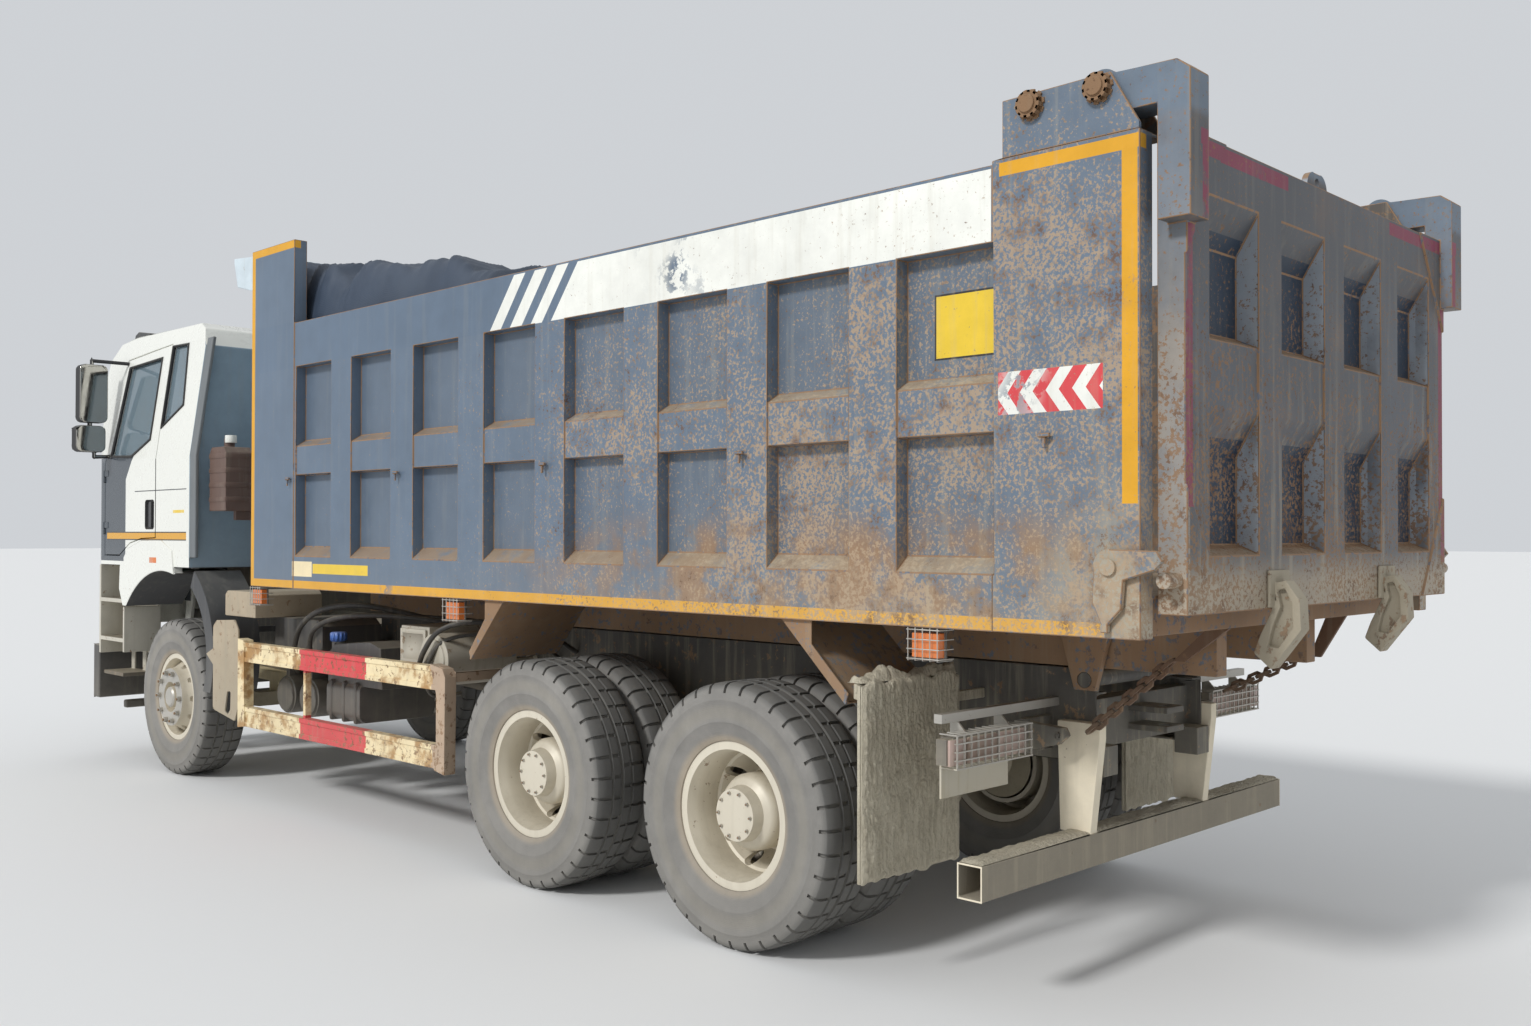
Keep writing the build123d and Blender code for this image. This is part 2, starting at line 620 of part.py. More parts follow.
# Side outline of the cab's box, as (Y, Z); the apron below the windscreen reaches lower
cab_side = [(apron_rear_y, cab_floor_z), (front_y + 30, cab_floor_z), (front_y + 8, 1700),
            (front_y + 20, cab_waist_z), (front_y + 190, 2960), (front_y + 340, 3080), (front_y + 600, cab_roof_z),
            (-2780, cab_roof_z - 8), (cab_rear_y - 60, 3050), (cab_rear_y, 2920), (cab_rear_y, cab_floor_z)]
apron_side = [(apron_rear_y, cab_floor_z + 20), (apron_rear_y, apron_bottom_z), (front_y + 24, apron_bottom_z),
              (front_y + 8, cab_floor_z - 30), (front_y + 8, 1500), (apron_rear_y, 1500)]


# The cab's form drawn in by an inset: its side outline, its plan and its front view met together.
def cab_form(inset, side_outline):
    half = cab_half - inset
    top = cab_top_half - inset
    front = front_y + 8 + inset
    with BuildPart(mode=Mode.PRIVATE) as form:
        with BuildSketch(Plane.YZ.offset(-half)) as side_view:
            Polygon(*side_outline, align=None)
            offset(amount=-inset, kind=Kind.INTERSECTION)
        extrude(side_view.sketch, amount=2 * half, dir=(1, 0, 0))
        with BuildSketch(Plane.XY.offset(900)) as plan:
            Polygon((-half, 0), (-half, front + 290), (-half + 130, front + 70), (-420, front), (420, front),
                    (half - 130, front + 70), (half, front + 290), (half, 0), align=None)
            fillet([corner for corner in plan.vertices() if front + 10 < corner.Y < -100], 150 - inset)
        extrude(plan.sketch, amount=2300, dir=(0, 0, 1), mode=Mode.INTERSECT)
        with BuildSketch(Plane.XZ) as front_view:
            Polygon((-half, 900), (-half, cab_waist_z), (-top - 5, 2970), (-top + 25, cab_roof_z - inset),
                    (top - 25, cab_roof_z - inset), (top + 5, 2970), (half, cab_waist_z), (half, 900), align=None)
            fillet([corner for corner in front_view.vertices() if corner.Z > cab_roof_z - inset - 1], 100 - inset)
        extrude(front_view.sketch, amount=5000, dir=(0, -1, 0), mode=Mode.INTERSECT)
    return form.part


cab_outside = cab_form(0, cab_side)
cab_room = cab_form(cab_wall, cab_side)
cab_apron = cab_form(0, apron_side)

windscreen = [(-1000, 2200), (-940, 2930), (940, 2930), (1000, 2200)]
windscreen_y = (front_y, front_y + 355)
door_outline = [(door_front_y, door_bottom_z), (door_front_y, cab_waist_z), (door_front_y + 155, 2940),
                (door_rear_y, 2990), (door_rear_y, 1628), (door_rear_y - 250, 1622), (door_rear_y - 450, 1590),
                (door_rear_y - 640, door_bottom_z)]
door_window = [(door_front_y + 100, 2225), (door_front_y + 212, 2877), (door_rear_y - 135, 2902),
               (door_rear_y - 142, 2322), (door_rear_y - 440, 2210)]
quarter_window = [(-3172, 2395), (-3165, 2968), (-2914, 2962), (-2853, 2536)]
handle_y = (-3378, -3218)
handle_z = (1690, 1896)
with BuildPart() as cab_shell:
    add(cab_outside)
    add(cab_room, mode=Mode.SUBTRACT)
    add(cab_apron)
    block((-cab_half + cab_wall, cab_half - cab_wall), (front_y + 110, apron_rear_y + 1),
          (apron_bottom_z - 1, cab_floor_z), mode=Mode.SUBTRACT)
    block((-760, 760), (front_y + 50, front_y + 111), (apron_bottom_z - 1, cab_floor_z), mode=Mode.SUBTRACT)
    block((-tunnel_half - cab_wall, tunnel_half + cab_wall), (front_y + 125, cab_rear_y - 20),
          (cab_floor_z, tunnel_top_z + cab_wall))
    block((-tunnel_half, tunnel_half), (front_y + 225, cab_rear_y + 10), (cab_floor_z - 10, tunnel_top_z),
          mode=Mode.SUBTRACT)
    end_prism(windscreen, windscreen_y, mode=Mode.SUBTRACT)
    block((-780, 780), (front_y, front_y + 40), (1130, 1980), mode=Mode.SUBTRACT)
    with Locations(*[(0, front_y + 34, 1215 + 170 * index) for index in range(5)]):
        Box(1562, 36, 62)
    for side in (-1, 1):
        x = (side * door_cut_x, side * (cab_half + 10))
        side_prism(door_outline, x, mode=Mode.SUBTRACT)
        side_prism(quarter_window, x, mode=Mode.SUBTRACT, corner=20)
        with BuildSketch(Plane.YZ.offset(side * (cab_half - 400))) as liner:
            with BuildLine():
                arch = CenterArc((front_axle_y, hub_z), arch_radius, 77, 59)
                crown = CenterArc((front_axle_y, hub_z), arch_radius + arch_liner, 77, 59)
                Line(arch @ 0, crown @ 0)
                Line(arch @ 1, crown @ 1)
            make_face()
        extrude(liner.sketch, amount=side * 402, dir=(1, 0, 0))
        with BuildSketch(Plane.YZ.offset(side * (cab_half - 58))) as flare:
            with BuildLine():
                arch = CenterArc((front_axle_y, hub_z), arch_radius, 77, 59)
                Polyline(arch @ 1, (-3745, 1140), (-3812, 1260), (-3800, 1432), (-3660, 1552), (-3420, 1612),
                         (-3080, 1616), (-2900, 1545), arch @ 0)
            make_face()
        extrude(flare.sketch, amount=side * (flare_x - cab_half + 58), dir=(1, 0, 0))
        side_prism([(tilt_y - tilt_lug_radius, tilt_z), (tilt_y + tilt_lug_radius, tilt_z),
                    (tilt_y + 180, cab_floor_z + 10), (tilt_y + 40, cab_floor_z + 10)],
                   (side * tilt_lug_x[0], side * tilt_lug_x[1]))
        bar_x((side * tilt_lug_x[0], side * tilt_lug_x[1]), tilt_y, tilt_z, tilt_lug_radius)
        bar_x((side * tilt_lug_x[0], side * tilt_lug_x[1]), tilt_y, tilt_z, tilt_pin_radius + pin_fit,
              mode=Mode.SUBTRACT)
        end_prism([(side * (cab_half - 4), 1500), (side * (cab_half - 4), cab_waist_z),
                   (side * (cab_top_half - 4), 2980), (side * (cab_top_half - 30), 2980),
                   (side * (cab_half - 30), cab_waist_z), (side * (cab_half - 30), 1500)],
                  (cab_rear_y - 2, cab_rear_y + 85))
        side_prism([(-3985, 3040), (-3960, 3130), (-3900, 3150), (-3700, 3122), (-3700, 3040)],
                   (side * 1015, side * 1085))
        for z in door_hinge_z:
            bar_z(side * door_hinge_x, door_hinge_y, (z, z + door_hinge_half + seat), door_hinge_radius + 1,
                  mode=Mode.SUBTRACT)
            bar_z(side * door_hinge_x, door_hinge_y, (z - door_hinge_half, z), door_hinge_radius)
            bar_z(side * door_hinge_x, door_hinge_y, (z - 1, z + door_hinge_half - 5), door_hinge_pin)

finish_part(cab_shell.part, "cab_shell")

# Fixed glass: the windscreen and the two rear quarter windows
glass = 8
glass_inset = 18
glass_outside = cab_form(glass_inset, cab_side)
glass_inside = cab_form(glass_inset + glass, cab_side)
with BuildPart() as cab_glass:
    for side in (-1, 1):
        side_prism(quarter_window, (side * door_cut_x, side * (cab_half + 10)), corner=20)
    end_prism(windscreen, windscreen_y)
    add(glass_outside, mode=Mode.INTERSECT)
    add(glass_inside, mode=Mode.SUBTRACT)

finish_part(cab_glass.part, "cab_glass")

# Seats, dashboard and steering wheel
steering_wheel = (760, front_y + 640, 2075)
dash_low_z = tunnel_top_z + cab_wall + seat
with BuildPart() as cab_interior:
    for x in (-760, 760):
        block((x - 230, x + 230), (-3560, -3080), (cab_floor_z + cab_wall + seat, 1940))
        side_prism([(-3110, 1940), (-2960, 2560), (-2850, 2560), (-3000, 1600), (-3081, 1600), (-3081, 1940)],
                   (x - 220, x + 220))
        block((x - 120, x + 120), (-2945, -2855), (2550, 2730))
    side_prism([(front_y + 190, dash_low_z), (front_y + 160, 2110), (front_y + 330, 2140), (front_y + 515, 2070),
                (front_y + 480, dash_low_z)], (-900, 900))
    with Locations(Location(steering_wheel, (-62, 0, 0))):
        Cylinder(228, 26)
        Cylinder(202, 30, mode=Mode.SUBTRACT)
        Box(410, 34, 18)
    rod((steering_wheel[0], front_y + 470, 1985), steering_wheel, 32)

finish_part(cab_interior.part, "cab_interior")

# Doors with their glass and mirrors
mirror_y = (door_front_y + 15, door_front_y + 105)
handle_middle_y = (handle_y[0] + handle_y[1]) / 2
cab_clear = cab_form(-seat, cab_side)
for side, name in ((1, "left"), (-1, "right")):
    with BuildPart() as door:
        add(cab_outside)
        add(cab_room, mode=Mode.SUBTRACT)
        with BuildSketch(Plane.YZ.offset(side * door_cut_x)) as leaf:
            Polygon(*door_outline, align=None)
            offset(amount=-door_gap, kind=Kind.INTERSECTION)
        extrude(leaf.sketch, amount=side * (cab_half - door_cut_x + 10), dir=(1, 0, 0), mode=Mode.INTERSECT)
        side_prism(door_window, (side * (door_cut_x - 10), side * (cab_half + 10)), mode=Mode.SUBTRACT, corner=24)
        side_prism([(handle_y[0], handle_z[0]), (handle_y[0], handle_z[1]), (handle_y[1], handle_z[1]),
                    (handle_y[1], handle_z[0])], (side * (cab_half - 22), side * (cab_half + 1)),
                   mode=Mode.SUBTRACT, corner=26)
        block((side * (cab_half - 23), side * (cab_half - 3)), (handle_middle_y - 20, handle_middle_y + 20),
              (handle_z[0] + 14, handle_z[1] - 14))
        for z in door_hinge_z:
            flat_prism([(side * (door_hinge_x - 0.5), door_hinge_y), (side * (door_hinge_x + 5), door_hinge_y),
                        (side * (door_hinge_x + 2), door_hinge_y + 70), (side * (cab_half - 4), door_hinge_y + 70),
                        (side * (cab_half - 4), door_hinge_y + 20),
                        (side * (cab_half + 1), door_hinge_y + 10)], (z + seat, z + door_hinge_half))
            bar_z(side * door_hinge_x, door_hinge_y, (z + seat, z + door_hinge_half), door_hinge_radius)
            bar_z(side * door_hinge_x, door_hinge_y, (z, z + door_hinge_half + 1), door_hinge_pin + pin_fit,
                  mode=Mode.SUBTRACT)
    finish_part(door.part, f"door_{name}")

    with BuildPart() as door_glass:
        side_prism(door_window, (side * (door_cut_x - 10), side * (cab_half + 10)), corner=24)
        add(glass_outside, mode=Mode.INTERSECT)
        add(glass_inside, mode=Mode.SUBTRACT)
    finish_part(door_glass.part, f"door_glass_{name}")

    with BuildPart() as mirror_head:
        for x, z in (((1258, 1456), (2470, 2895)), ((1272, 1480), (2255, 2448))):
            with BuildSketch(Plane.XZ.offset(-mirror_y[0])) as housing:
                with Locations((side * (x[0] + x[1]) / 2, (z[0] + z[1]) / 2)):
                    RectangleRounded(x[1] - x[0], z[1] - z[0], 42)
            extrude(housing.sketch, amount=mirror_y[1] - mirror_y[0], dir=(0, 1, 0))
        bar_z(side * 1370, mirror_y[0] + 45, (2440, 2480), 16)
        rod((side * 1360, mirror_y[0] + 50, 2925), (side * 1120, door_front_y + 172, 2912), 13)
        bar_z(side * 1360, mirror_y[0] + 50, (2885, 2936), 13)
        rod((side * 1340, mirror_y[0] + 50, 2222), (side * 1140, door_front_y + 45, 2232), 13)
        bar_z(side * 1340, mirror_y[0] + 50, (2212, 2265), 13)
        add(cab_clear, mode=Mode.SUBTRACT)
    finish_part(mirror_head.part, f"mirror_{name}")

# Body floor on its two long beams, with the tip hinge's lugs
cross_beam_count = 12
cross_beam_pitch = (body_rear_y - body_front_y - 200) / (cross_beam_count - 1)
with BuildPart() as bed_floor:
    block((-inner_x, inner_x), (body_front_y, body_rear_y), (floor_top_z - floor_plate, floor_top_z))
    for index in range(cross_beam_count):
        y = body_front_y + 100 + index * cross_beam_pitch
        block((-inner_x, inner_x), (y - 40, y + 40), (body_bottom_z, floor_top_z - floor_plate))
    for side in (-1, 1):
        x = (side * (beam_x - beam_width / 2), side * (beam_x + beam_width / 2))
        block(x, (body_front_y, body_rear_y - 150), (beam_bottom_z, body_bottom_z))
        lug = (side * tip_lug_x[0], side * tip_lug_x[1])
        side_prism([(tip_y - 45, tip_z - 40), (tip_y + 45, tip_z - 40), (tip_y + 120, body_bottom_z),
                    (tip_y - 120, body_bottom_z)], lug)
        bar_x(lug, tip_y, tip_z, tip_pin_radius + pin_fit, mode=Mode.SUBTRACT)
        block((side * (rail_x - 40), side * tip_lug_x[1]), (tip_y - 120, tip_y + 120),
              (body_bottom_z - 30, body_bottom_z))

finish_part(bed_floor.part, "bed_floor")

# Mud hoods that hang under the body before and behind the driven wheels
hood_plate = 8
hood_x = (690, 1228)
# top of the slope (Y), its foot (Y, Z), and which way the outer web stands
hood_table = [(935, (657, 1038), -1), (2770, (3096, 1034), 1)]
with BuildPart() as mud_hoods:
    for top_y, foot, way in hood_table:
        side_prism([(top_y, body_bottom_z - seat), foot, (foot[0] + way * hood_plate, foot[1] + hood_plate),
                    (top_y + way * 14, body_bottom_z - seat)], hood_x)
        side_prism([(top_y, body_bottom_z - seat), foot, (foot[0] + way * 16, foot[1] + 40),
                    (top_y + way * 158, body_bottom_z - 92), (top_y + way * 158, body_bottom_z - seat)],
                   (hood_x[1] - hood_plate, hood_x[1]))
    mirror(about=Plane.YZ)

finish_part(mud_hoods.part, "mud_hoods")


def link_outline(half_length, half_width):
    bevel = half_width * 0.6
    return [(half_length, half_width - bevel), (half_length - bevel, half_width), (bevel - half_length, half_width),
            (-half_length, half_width - bevel), (-half_length, bevel - half_width), (bevel - half_length, -half_width),
            (half_length - bevel, -half_width), (half_length, bevel - half_width)]


# Chains that run up to the lock under the tailgate, each hung from a lug under the body
link_pitch = link_inner - 2
# X, Y and Z of the front end, Y and Z of the rear end
chain_table = [(chain_x[1], 3690, 925, 4055, 1234), (chain_x[0], 3740, 1000, 4120, 1190)]
with BuildPart() as lock_chains:
    for x, start_y, start_z, end_y, end_z in chain_table:
        run = Vector(0, end_y - start_y, end_z - start_z)
        along = run.normalized()
        link_count = int(run.length / link_pitch)
        for index in range(link_count):
            middle = Vector(x, start_y, start_z) + along * (link_pitch * (index + 0.5))
            facing = Vector(1, 0, 0) if index % 2 else along.cross(Vector(1, 0, 0))
            with BuildSketch(Plane(origin=middle, x_dir=along, z_dir=facing)) as link:
                Polygon(*link_outline(link_inner / 2 + link_bar, link_width / 2), align=None)
                Polygon(*link_outline(link_inner / 2, link_width / 2 - link_bar), align=None, mode=Mode.SUBTRACT)
            extrude(link.sketch, amount=link_bar / 2, both=True)
        side_prism([(end_y - 22, end_z - 22), (end_y + 22, end_z - 22), (body_rear_y - 62, body_bottom_z - seat),
                    (body_rear_y - 138, body_bottom_z - seat)], (x - 9, x + 9))

finish_part(lock_chains.part, "lock_chains")

# Body sides: a skin with eight pressed pockets, rope hooks, the lock's lever and the tailgate's ears on top
hook_y = (-1194, 10, 1291, 2579, 3974)
hook_z = 1985
for side, name in ((1, "left"), (-1, "right")):
    with BuildPart() as bed_side:
        face_x = side_x - panel_step
        side_prism([(body_front_y, body_bottom_z), (body_front_y, side_top_z), (body_rear_y, side_top_z),
                    (body_rear_y, body_bottom_z)], (side * (inner_x + seat), side * face_x))
        block((side * (inner_x + seat), side * side_x), (body_front_y, body_front_y + post_length),
              (body_bottom_z, post_top_z))
        block((side * (inner_x + seat), side * side_x), (rear_panel_y, body_rear_y), (body_bottom_z, rear_panel_top_z))
        pocket = [(side * skin_x, ledge_high_z), (side * face_x, ledge_low_z), (side * (side_x + 5), ledge_low_z),
                  (side * (side_x + 5), rail_low_z), (side * skin_x, rail_low_z), (side * skin_x, bar_slope_z),
                  (side * (face_x - bar_inset), bar_face_z), (side * (face_x - bar_inset), bar_bottom_z),
                  (side * skin_x, bar_bottom_z)]
        for index in range(pocket_count):
            y = pocket_first_y + index * pocket_pitch
            end_prism(pocket, (y, y + pocket_length), mode=Mode.SUBTRACT)
        for y in hook_y:
            bar_x((side * (side_x - 8), side * (side_x + 22)), y, hook_z, 7)
            block((side * (side_x + 12), side * (side_x + 24)), (y - 22, y + 22), (hook_z - 7, hook_z + 7))
            block((side * (side_x + 13), side * (side_x + 23)), (y - 6, y + 6), (hook_z - 42, hook_z))
        for x in (ear_outer_x, arm_inner_x - gap):
            side_prism([(ear_y[0], rear_panel_top_z - 5), (ear_y[0], ear_top_z - 5), (ear_y[1] - 99, ear_top_z),
                        (ear_y[1], rear_panel_top_z + 23), (ear_y[1], rear_panel_top_z - 5)],
                       (side * x, side * (x - ear_plate)))
        block((side * (arm_inner_x - gap - ear_plate), side * (inner_x + seat + 1)), ear_y,
              (rear_panel_top_z - 12, rear_panel_top_z))
        for y in ear_pin_y:
            bar_x((side * (arm_inner_x - gap - ear_plate), side * (ear_outer_x + 14)), y, hinge_z, pin_radius)
        bar_x((side * (side_x - 10), side * (side_x + gap + lever_plate + 12)), lever_y, lever_z, 26)
        lever_x = side * (side_x + gap)
        with BuildSketch(Plane.YZ.offset(lever_x)) as lever:
            Polygon((lever_y - 55, lever_z - 10), (lever_y - 60, lever_z - 110), (lever_y - 30, lever_z - 178),
                    (lever_y - 30, lever_z - 205), (lever_y - 6, lever_z - 205), (lever_y - 6, lever_z - 178),
                    (lever_y + 40, lever_z - 130), (lever_y + 48, lever_z - 40), (lever_y + 150, lever_z - 8),
                    (lever_y + 178, lever_z + 22), (lever_y + 160, lever_z + 52), (lever_y, lever_z + 56),
                    align=None)
            with Locations((lever_y, lever_z)):
                Circle(56)
        extrude(lever.sketch, amount=side * lever_plate, dir=(1, 0, 0))
    finish_part(bed_side.part, f"bed_side_{name}")

# Headboard, its canopy and the hoist's bracket
canopy_tip_z = post_top_z + 32
with BuildPart() as headboard:
    block((-inner_x, inner_x), (body_front_y, body_front_y + 60), (floor_top_z, canopy_tip_z - 50))
    for x in ((inner_x - 8, inner_x), (-inner_x, -inner_x + 8)):
        side_prism([(body_front_y, canopy_tip_z - 50), (body_front_y - canopy_reach, canopy_tip_z),
                    (body_front_y - canopy_reach, canopy_tip_z - 30),
                    (body_front_y - canopy_reach + 50, canopy_tip_z - 190), (body_front_y, canopy_tip_z - 280)], x)
    side_prism([(body_front_y + 60, canopy_tip_z - 50), (body_front_y, canopy_tip_z - 35),
                (body_front_y - canopy_reach, canopy_tip_z), (body_front_y - canopy_reach, canopy_tip_z - 10),
                (body_front_y, canopy_tip_z - 58), (body_front_y + 60, canopy_tip_z - 60)], (-inner_x, inner_x))
    for x in (-175, 145):
        side_prism([(body_front_y, 1400), (hoist_y - 60, hoist_eye_z - 50), (hoist_y - 60, hoist_eye_z + 50),
                    (body_front_y, 1640)], (x, x + 30))
    for x in (-900, -480, 420, 840):
        block((x, x + 60), (body_front_y - 40, body_front_y + 5), (floor_top_z, canopy_tip_z - 290))

finish_part(headboard.part, "headboard")

# Gathered sheet over the front of the load space
tarp_front_y = body_front_y + 60 + seat
with BuildPart() as tarp:
    side_prism([(tarp_front_y, side_top_z - 60), (tarp_front_y, side_top_z + 395), (-1100, side_top_z + 435),
                (-400, side_top_z + 295), (200, side_top_z + 175), (657, side_top_z + 95),
                (680, side_top_z - 60)], (-inner_x, inner_x))

finish_part(tarp.part, "tarp")

# Marker lamps on brackets under the body's lower edge
with BuildPart() as bed_lamps:
    for y in (-1646, 500, 3468):
        block((1196, 1232), (y - 58, y + 58), (1232, 1318))
        block((1190, 1198), (y - 66, y + 66), (1226, body_bottom_z - seat))
        block((1150, 1198), (y - 66, y + 66), (body_bottom_z - 12, body_bottom_z - seat))
    mirror(about=Plane.YZ)

finish_part(bed_lamps.part, "bed_lamps")

# Tailgate with its two hinge arms, corner gussets, side lugs and the lifting eye
eye_x = 110
with BuildPart() as tailgate:
    block((-gate_half, gate_half), (gate_front_y, gate_rear_y), (gate_bottom_z, gate_top_z))
    bay_edges = [-gate_half + gate_column]
    for x in gate_rib_x:
        bay_edges += [x - gate_rib / 2, x + gate_rib / 2]
    bay_edges.append(gate_half - gate_column)
    skin_y = gate_front_y + gate_skin
    bay = [(skin_y, gate_beam_low_z + gate_ledge), (gate_rear_y, gate_beam_low_z),
           (gate_rear_y + 5, gate_beam_low_z), (gate_rear_y + 5, gate_beam_high_z), (gate_rear_y, gate_beam_high_z),
           (skin_y, gate_beam_high_z - gate_ceiling), (skin_y, gate_bar_high_z + gate_ledge),
           (gate_rear_y - bar_inset, gate_bar_high_z), (gate_rear_y - bar_inset, gate_bar_low_z),
           (skin_y, gate_bar_low_z - gate_ceiling)]
    for low, high in zip(bay_edges[0::2], bay_edges[1::2]):
        side_prism(bay, (low, high), mode=Mode.SUBTRACT)
    for side in (-1, 1):
        edge = side * gate_half
        end_prism([(edge, gate_bottom_z), (edge, gate_bottom_z + 408), (edge - side * 267, gate_bottom_z)],
                  (gate_rear_y - 1, gate_rear_y + gate_gusset))
        end_prism([(edge, gate_top_z), (edge, gate_top_z - 389), (edge - side * 273, gate_top_z)],
                  (gate_rear_y - 1, gate_rear_y + gate_gusset))
        arm_x = (side * arm_inner_x, side * arm_outer_x)
        side_prism([(hinge_y, hinge_z - arm_end_radius), (arm_y[0], gate_top_z + 70), (arm_y[0], arm_bottom_z),
                    (arm_y[1], arm_bottom_z), (arm_y[1], hinge_z + 5), (arm_y[1] - 45, hinge_z + 40),
                    (hinge_y, hinge_z + 44)], arm_x)
        bar_x(arm_x, hinge_y, hinge_z, arm_end_radius - 20)
        bar_x(arm_x, hinge_y, hinge_z, pin_radius + pin_fit, mode=Mode.SUBTRACT)
        bar_x((side * (gate_half - 2), side * (side_x - 12)), gate_rear_y - 30, lever_z - 40, 24)
    with BuildSketch(Plane.XZ.offset(-(gate_rear_y - 40))) as eye:
        with Locations((eye_x, gate_top_z)):
            SlotCenterToCenter(60, 116)
        with Locations((eye_x, gate_top_z + 20)):
            Circle(20, mode=Mode.SUBTRACT)
    extrude(eye.sketch, amount=22, dir=(0, 1, 0))

finish_part(tailgate.part, "tailgate")

# Lock claws under the tailgate on their wear plates: a curved plate with a thinner web
claw_side = [(8, 86), (49, 97), (96, 32), (101, -69), (40, -150), (-3, -207), (-63, -154), (-40, -90), (-13, -33),
             (15, 29)]
claw_hollow = [(20, 62), (46, 68), (68, 20), (72, -62), (22, -132), (-12, -126), (4, -60), (32, 8)]
with BuildPart() as tailgate_locks:
    for x in claw_x:
        half = claw_width / 2
        side_prism([(gate_rear_y + y, gate_bottom_z + z) for y, z in claw_side], (x - half, x + half))
        for face in (-1, 1):
            side_prism([(gate_rear_y + y, gate_bottom_z + z) for y, z in claw_hollow],
                       (x + face * claw_web / 2, x + face * (half + 1)), mode=Mode.SUBTRACT)
        block((x - 88, x + 72), (gate_rear_y + seat, gate_rear_y + 13), (gate_bottom_z + 5, gate_bottom_z + 130))

finish_part(tailgate_locks.part, "tailgate_locks")

# Telescopic hoist: a rod at the bottom, two tubes and the outer cover
hoist_names = ("hoist_rod", "hoist_inner_tube", "hoist_outer_tube", "hoist_cover")
for index, name in enumerate(hoist_names):
    radius = hoist_radius[index]
    top = hoist_cover_top_z - 20 * (len(hoist_names) - index)
    with BuildPart() as hoist_stage:
        if index == 0:
            bar_z(0, hoist_y, (hoist_base_z, top), radius)
            bar_x((-90, 90), hoist_y, hoist_base_z, radius - 6)
            bar_x((-hoist_cheek_x[1], hoist_cheek_x[1]), hoist_y, hoist_base_z, hoist_pin_radius)
        else:
            bottom = hoist_base_z + 90 + 25 * index
            bar_z(0, hoist_y, (bottom, top), radius)
            bar_z(0, hoist_y, (bottom, top - hoist_wall), hoist_radius[index - 1] + hoist_clearance,
                  mode=Mode.SUBTRACT)
        if name == "hoist_cover":
            for side in (-1, 1):
                bar_x((side * (radius - 5), side * 143), hoist_y, hoist_eye_z, 35)
    finish_part(hoist_stage.part, name)

# Steering knuckles
for side, name in ((1, "left"), (-1, "right")):
    with BuildPart() as knuckle:
        for z in ((400, beam_end_z[0] - gap), (beam_end_z[1] + gap, 660)):
            bar_z(side * king_x, front_axle_y, z, 55)
        bar_z(side * king_x, front_axle_y, (400, 660), king_pin_radius)
        block((side * (king_x + 51), side * (king_x + 75)), (front_axle_y - 55, front_axle_y + 55), (400, 660))
        bar_x((side * (king_x + 60), side * spindle_end_x), front_axle_y, hub_z, spindle_radius)
    finish_part(knuckle.part, f"knuckle_{name}")

# Tyre section across its width, from bead to bead
half_tyre = tyre_width / 2
tyre_section = [(-110, bead_radius + 12), (-138, 330), (-half_tyre, 400), (-half_tyre + 4, 450),
                (-half_tyre + 14, tyre_shoulder_radius), (-tread_width / 2, tyre_radius),
                (tread_width / 2, tyre_radius), (half_tyre - 14, tyre_shoulder_radius), (half_tyre - 4, 450),
                (half_tyre, 400), (138, 330), (110, bead_radius + 12)]
half_rim = rim_width / 2
rim_section = [(-half_rim, rim_radius), (-half_rim + 10, rim_radius), (-half_rim + 12, bead_radius - 10),
               (-60, rim_well_radius), (60, rim_well_radius), (half_rim - 12, bead_radius - 10),
               (half_rim - 10, rim_radius), (half_rim, rim_radius), (half_rim, bead_radius - 22),
               (62, rim_well_radius - rim_wall), (-62, rim_well_radius - rim_wall), (-half_rim, bead_radius - 22)]


def shifted(section, x):
    return [(x + point[0], point[1]) for point in section]


def turned_on_side(section, side):
    return [(side * point[0], point[1]) for point in section]


wheels = [("front_left", 1, front_axle_y, (front_tyre_x,)), ("front_right", -1, front_axle_y, (front_tyre_x,)),
          ("mid_left", 1, mid_axle_y, (rear_tyre_x, twin_tyre_x)),
          ("mid_right", -1, mid_axle_y, (rear_tyre_x, twin_tyre_x)),
          ("rear_left", 1, rear_axle_y, (rear_tyre_x, twin_tyre_x)),
          ("rear_right", -1, rear_axle_y, (rear_tyre_x, twin_tyre_x))]
front_disc_x = front_tyre_x + 24
front_disc = [(spindle_end_x + gap, 0), (spindle_end_x + gap, spindle_radius + pin_fit),
              (995, spindle_radius + pin_fit), (995, 82), (1105, 82), (1118, 120), (1118, 176), (1098, 196),
              (front_disc_x - 8, 240), (front_disc_x - 8, 256), (front_disc_x + 16, 256), (1118, 210), (1142, 200),
              (1178, 196), (1178, 104), (1125, 100), (1125, 76), (1178, 70), (1188, 58), (1188, 0)]
twin_disc = [(hub_inner_x, 0), (hub_inner_x, 140), (twin_disc_x - 16, 150), (twin_disc_x - 16, 184),
             (twin_disc_x - 35, 198), (twin_disc_x - 121, 238), (twin_disc_x - 129, 254), (twin_disc_x - 109, 254),
             (twin_disc_x - 29, 216), (twin_disc_x, 208), (twin_disc_x + 29, 216), (twin_disc_x + 109, 254),
             (twin_disc_x + 129, 254), (twin_disc_x + 121, 238), (twin_disc_x + 35, 198), (twin_disc_x + 16, 184),
             (twin_disc_x + 16, 160), (1110, 156), (1130, 145), (1150, 115), (1200, 105), (1200, 0)]
front_drum = [(928, drum_radius - drum_wall), (928, drum_radius), (1092, drum_radius), (1112, drum_radius - drum_wall)]
twin_drum = [(672, drum_radius - drum_wall), (672, drum_radius), (twin_disc_x - 20, drum_radius),
             (twin_disc_x - 20, 120), (hub_inner_x + 10, 120), (hub_inner_x + 10, drum_radius - drum_wall)]
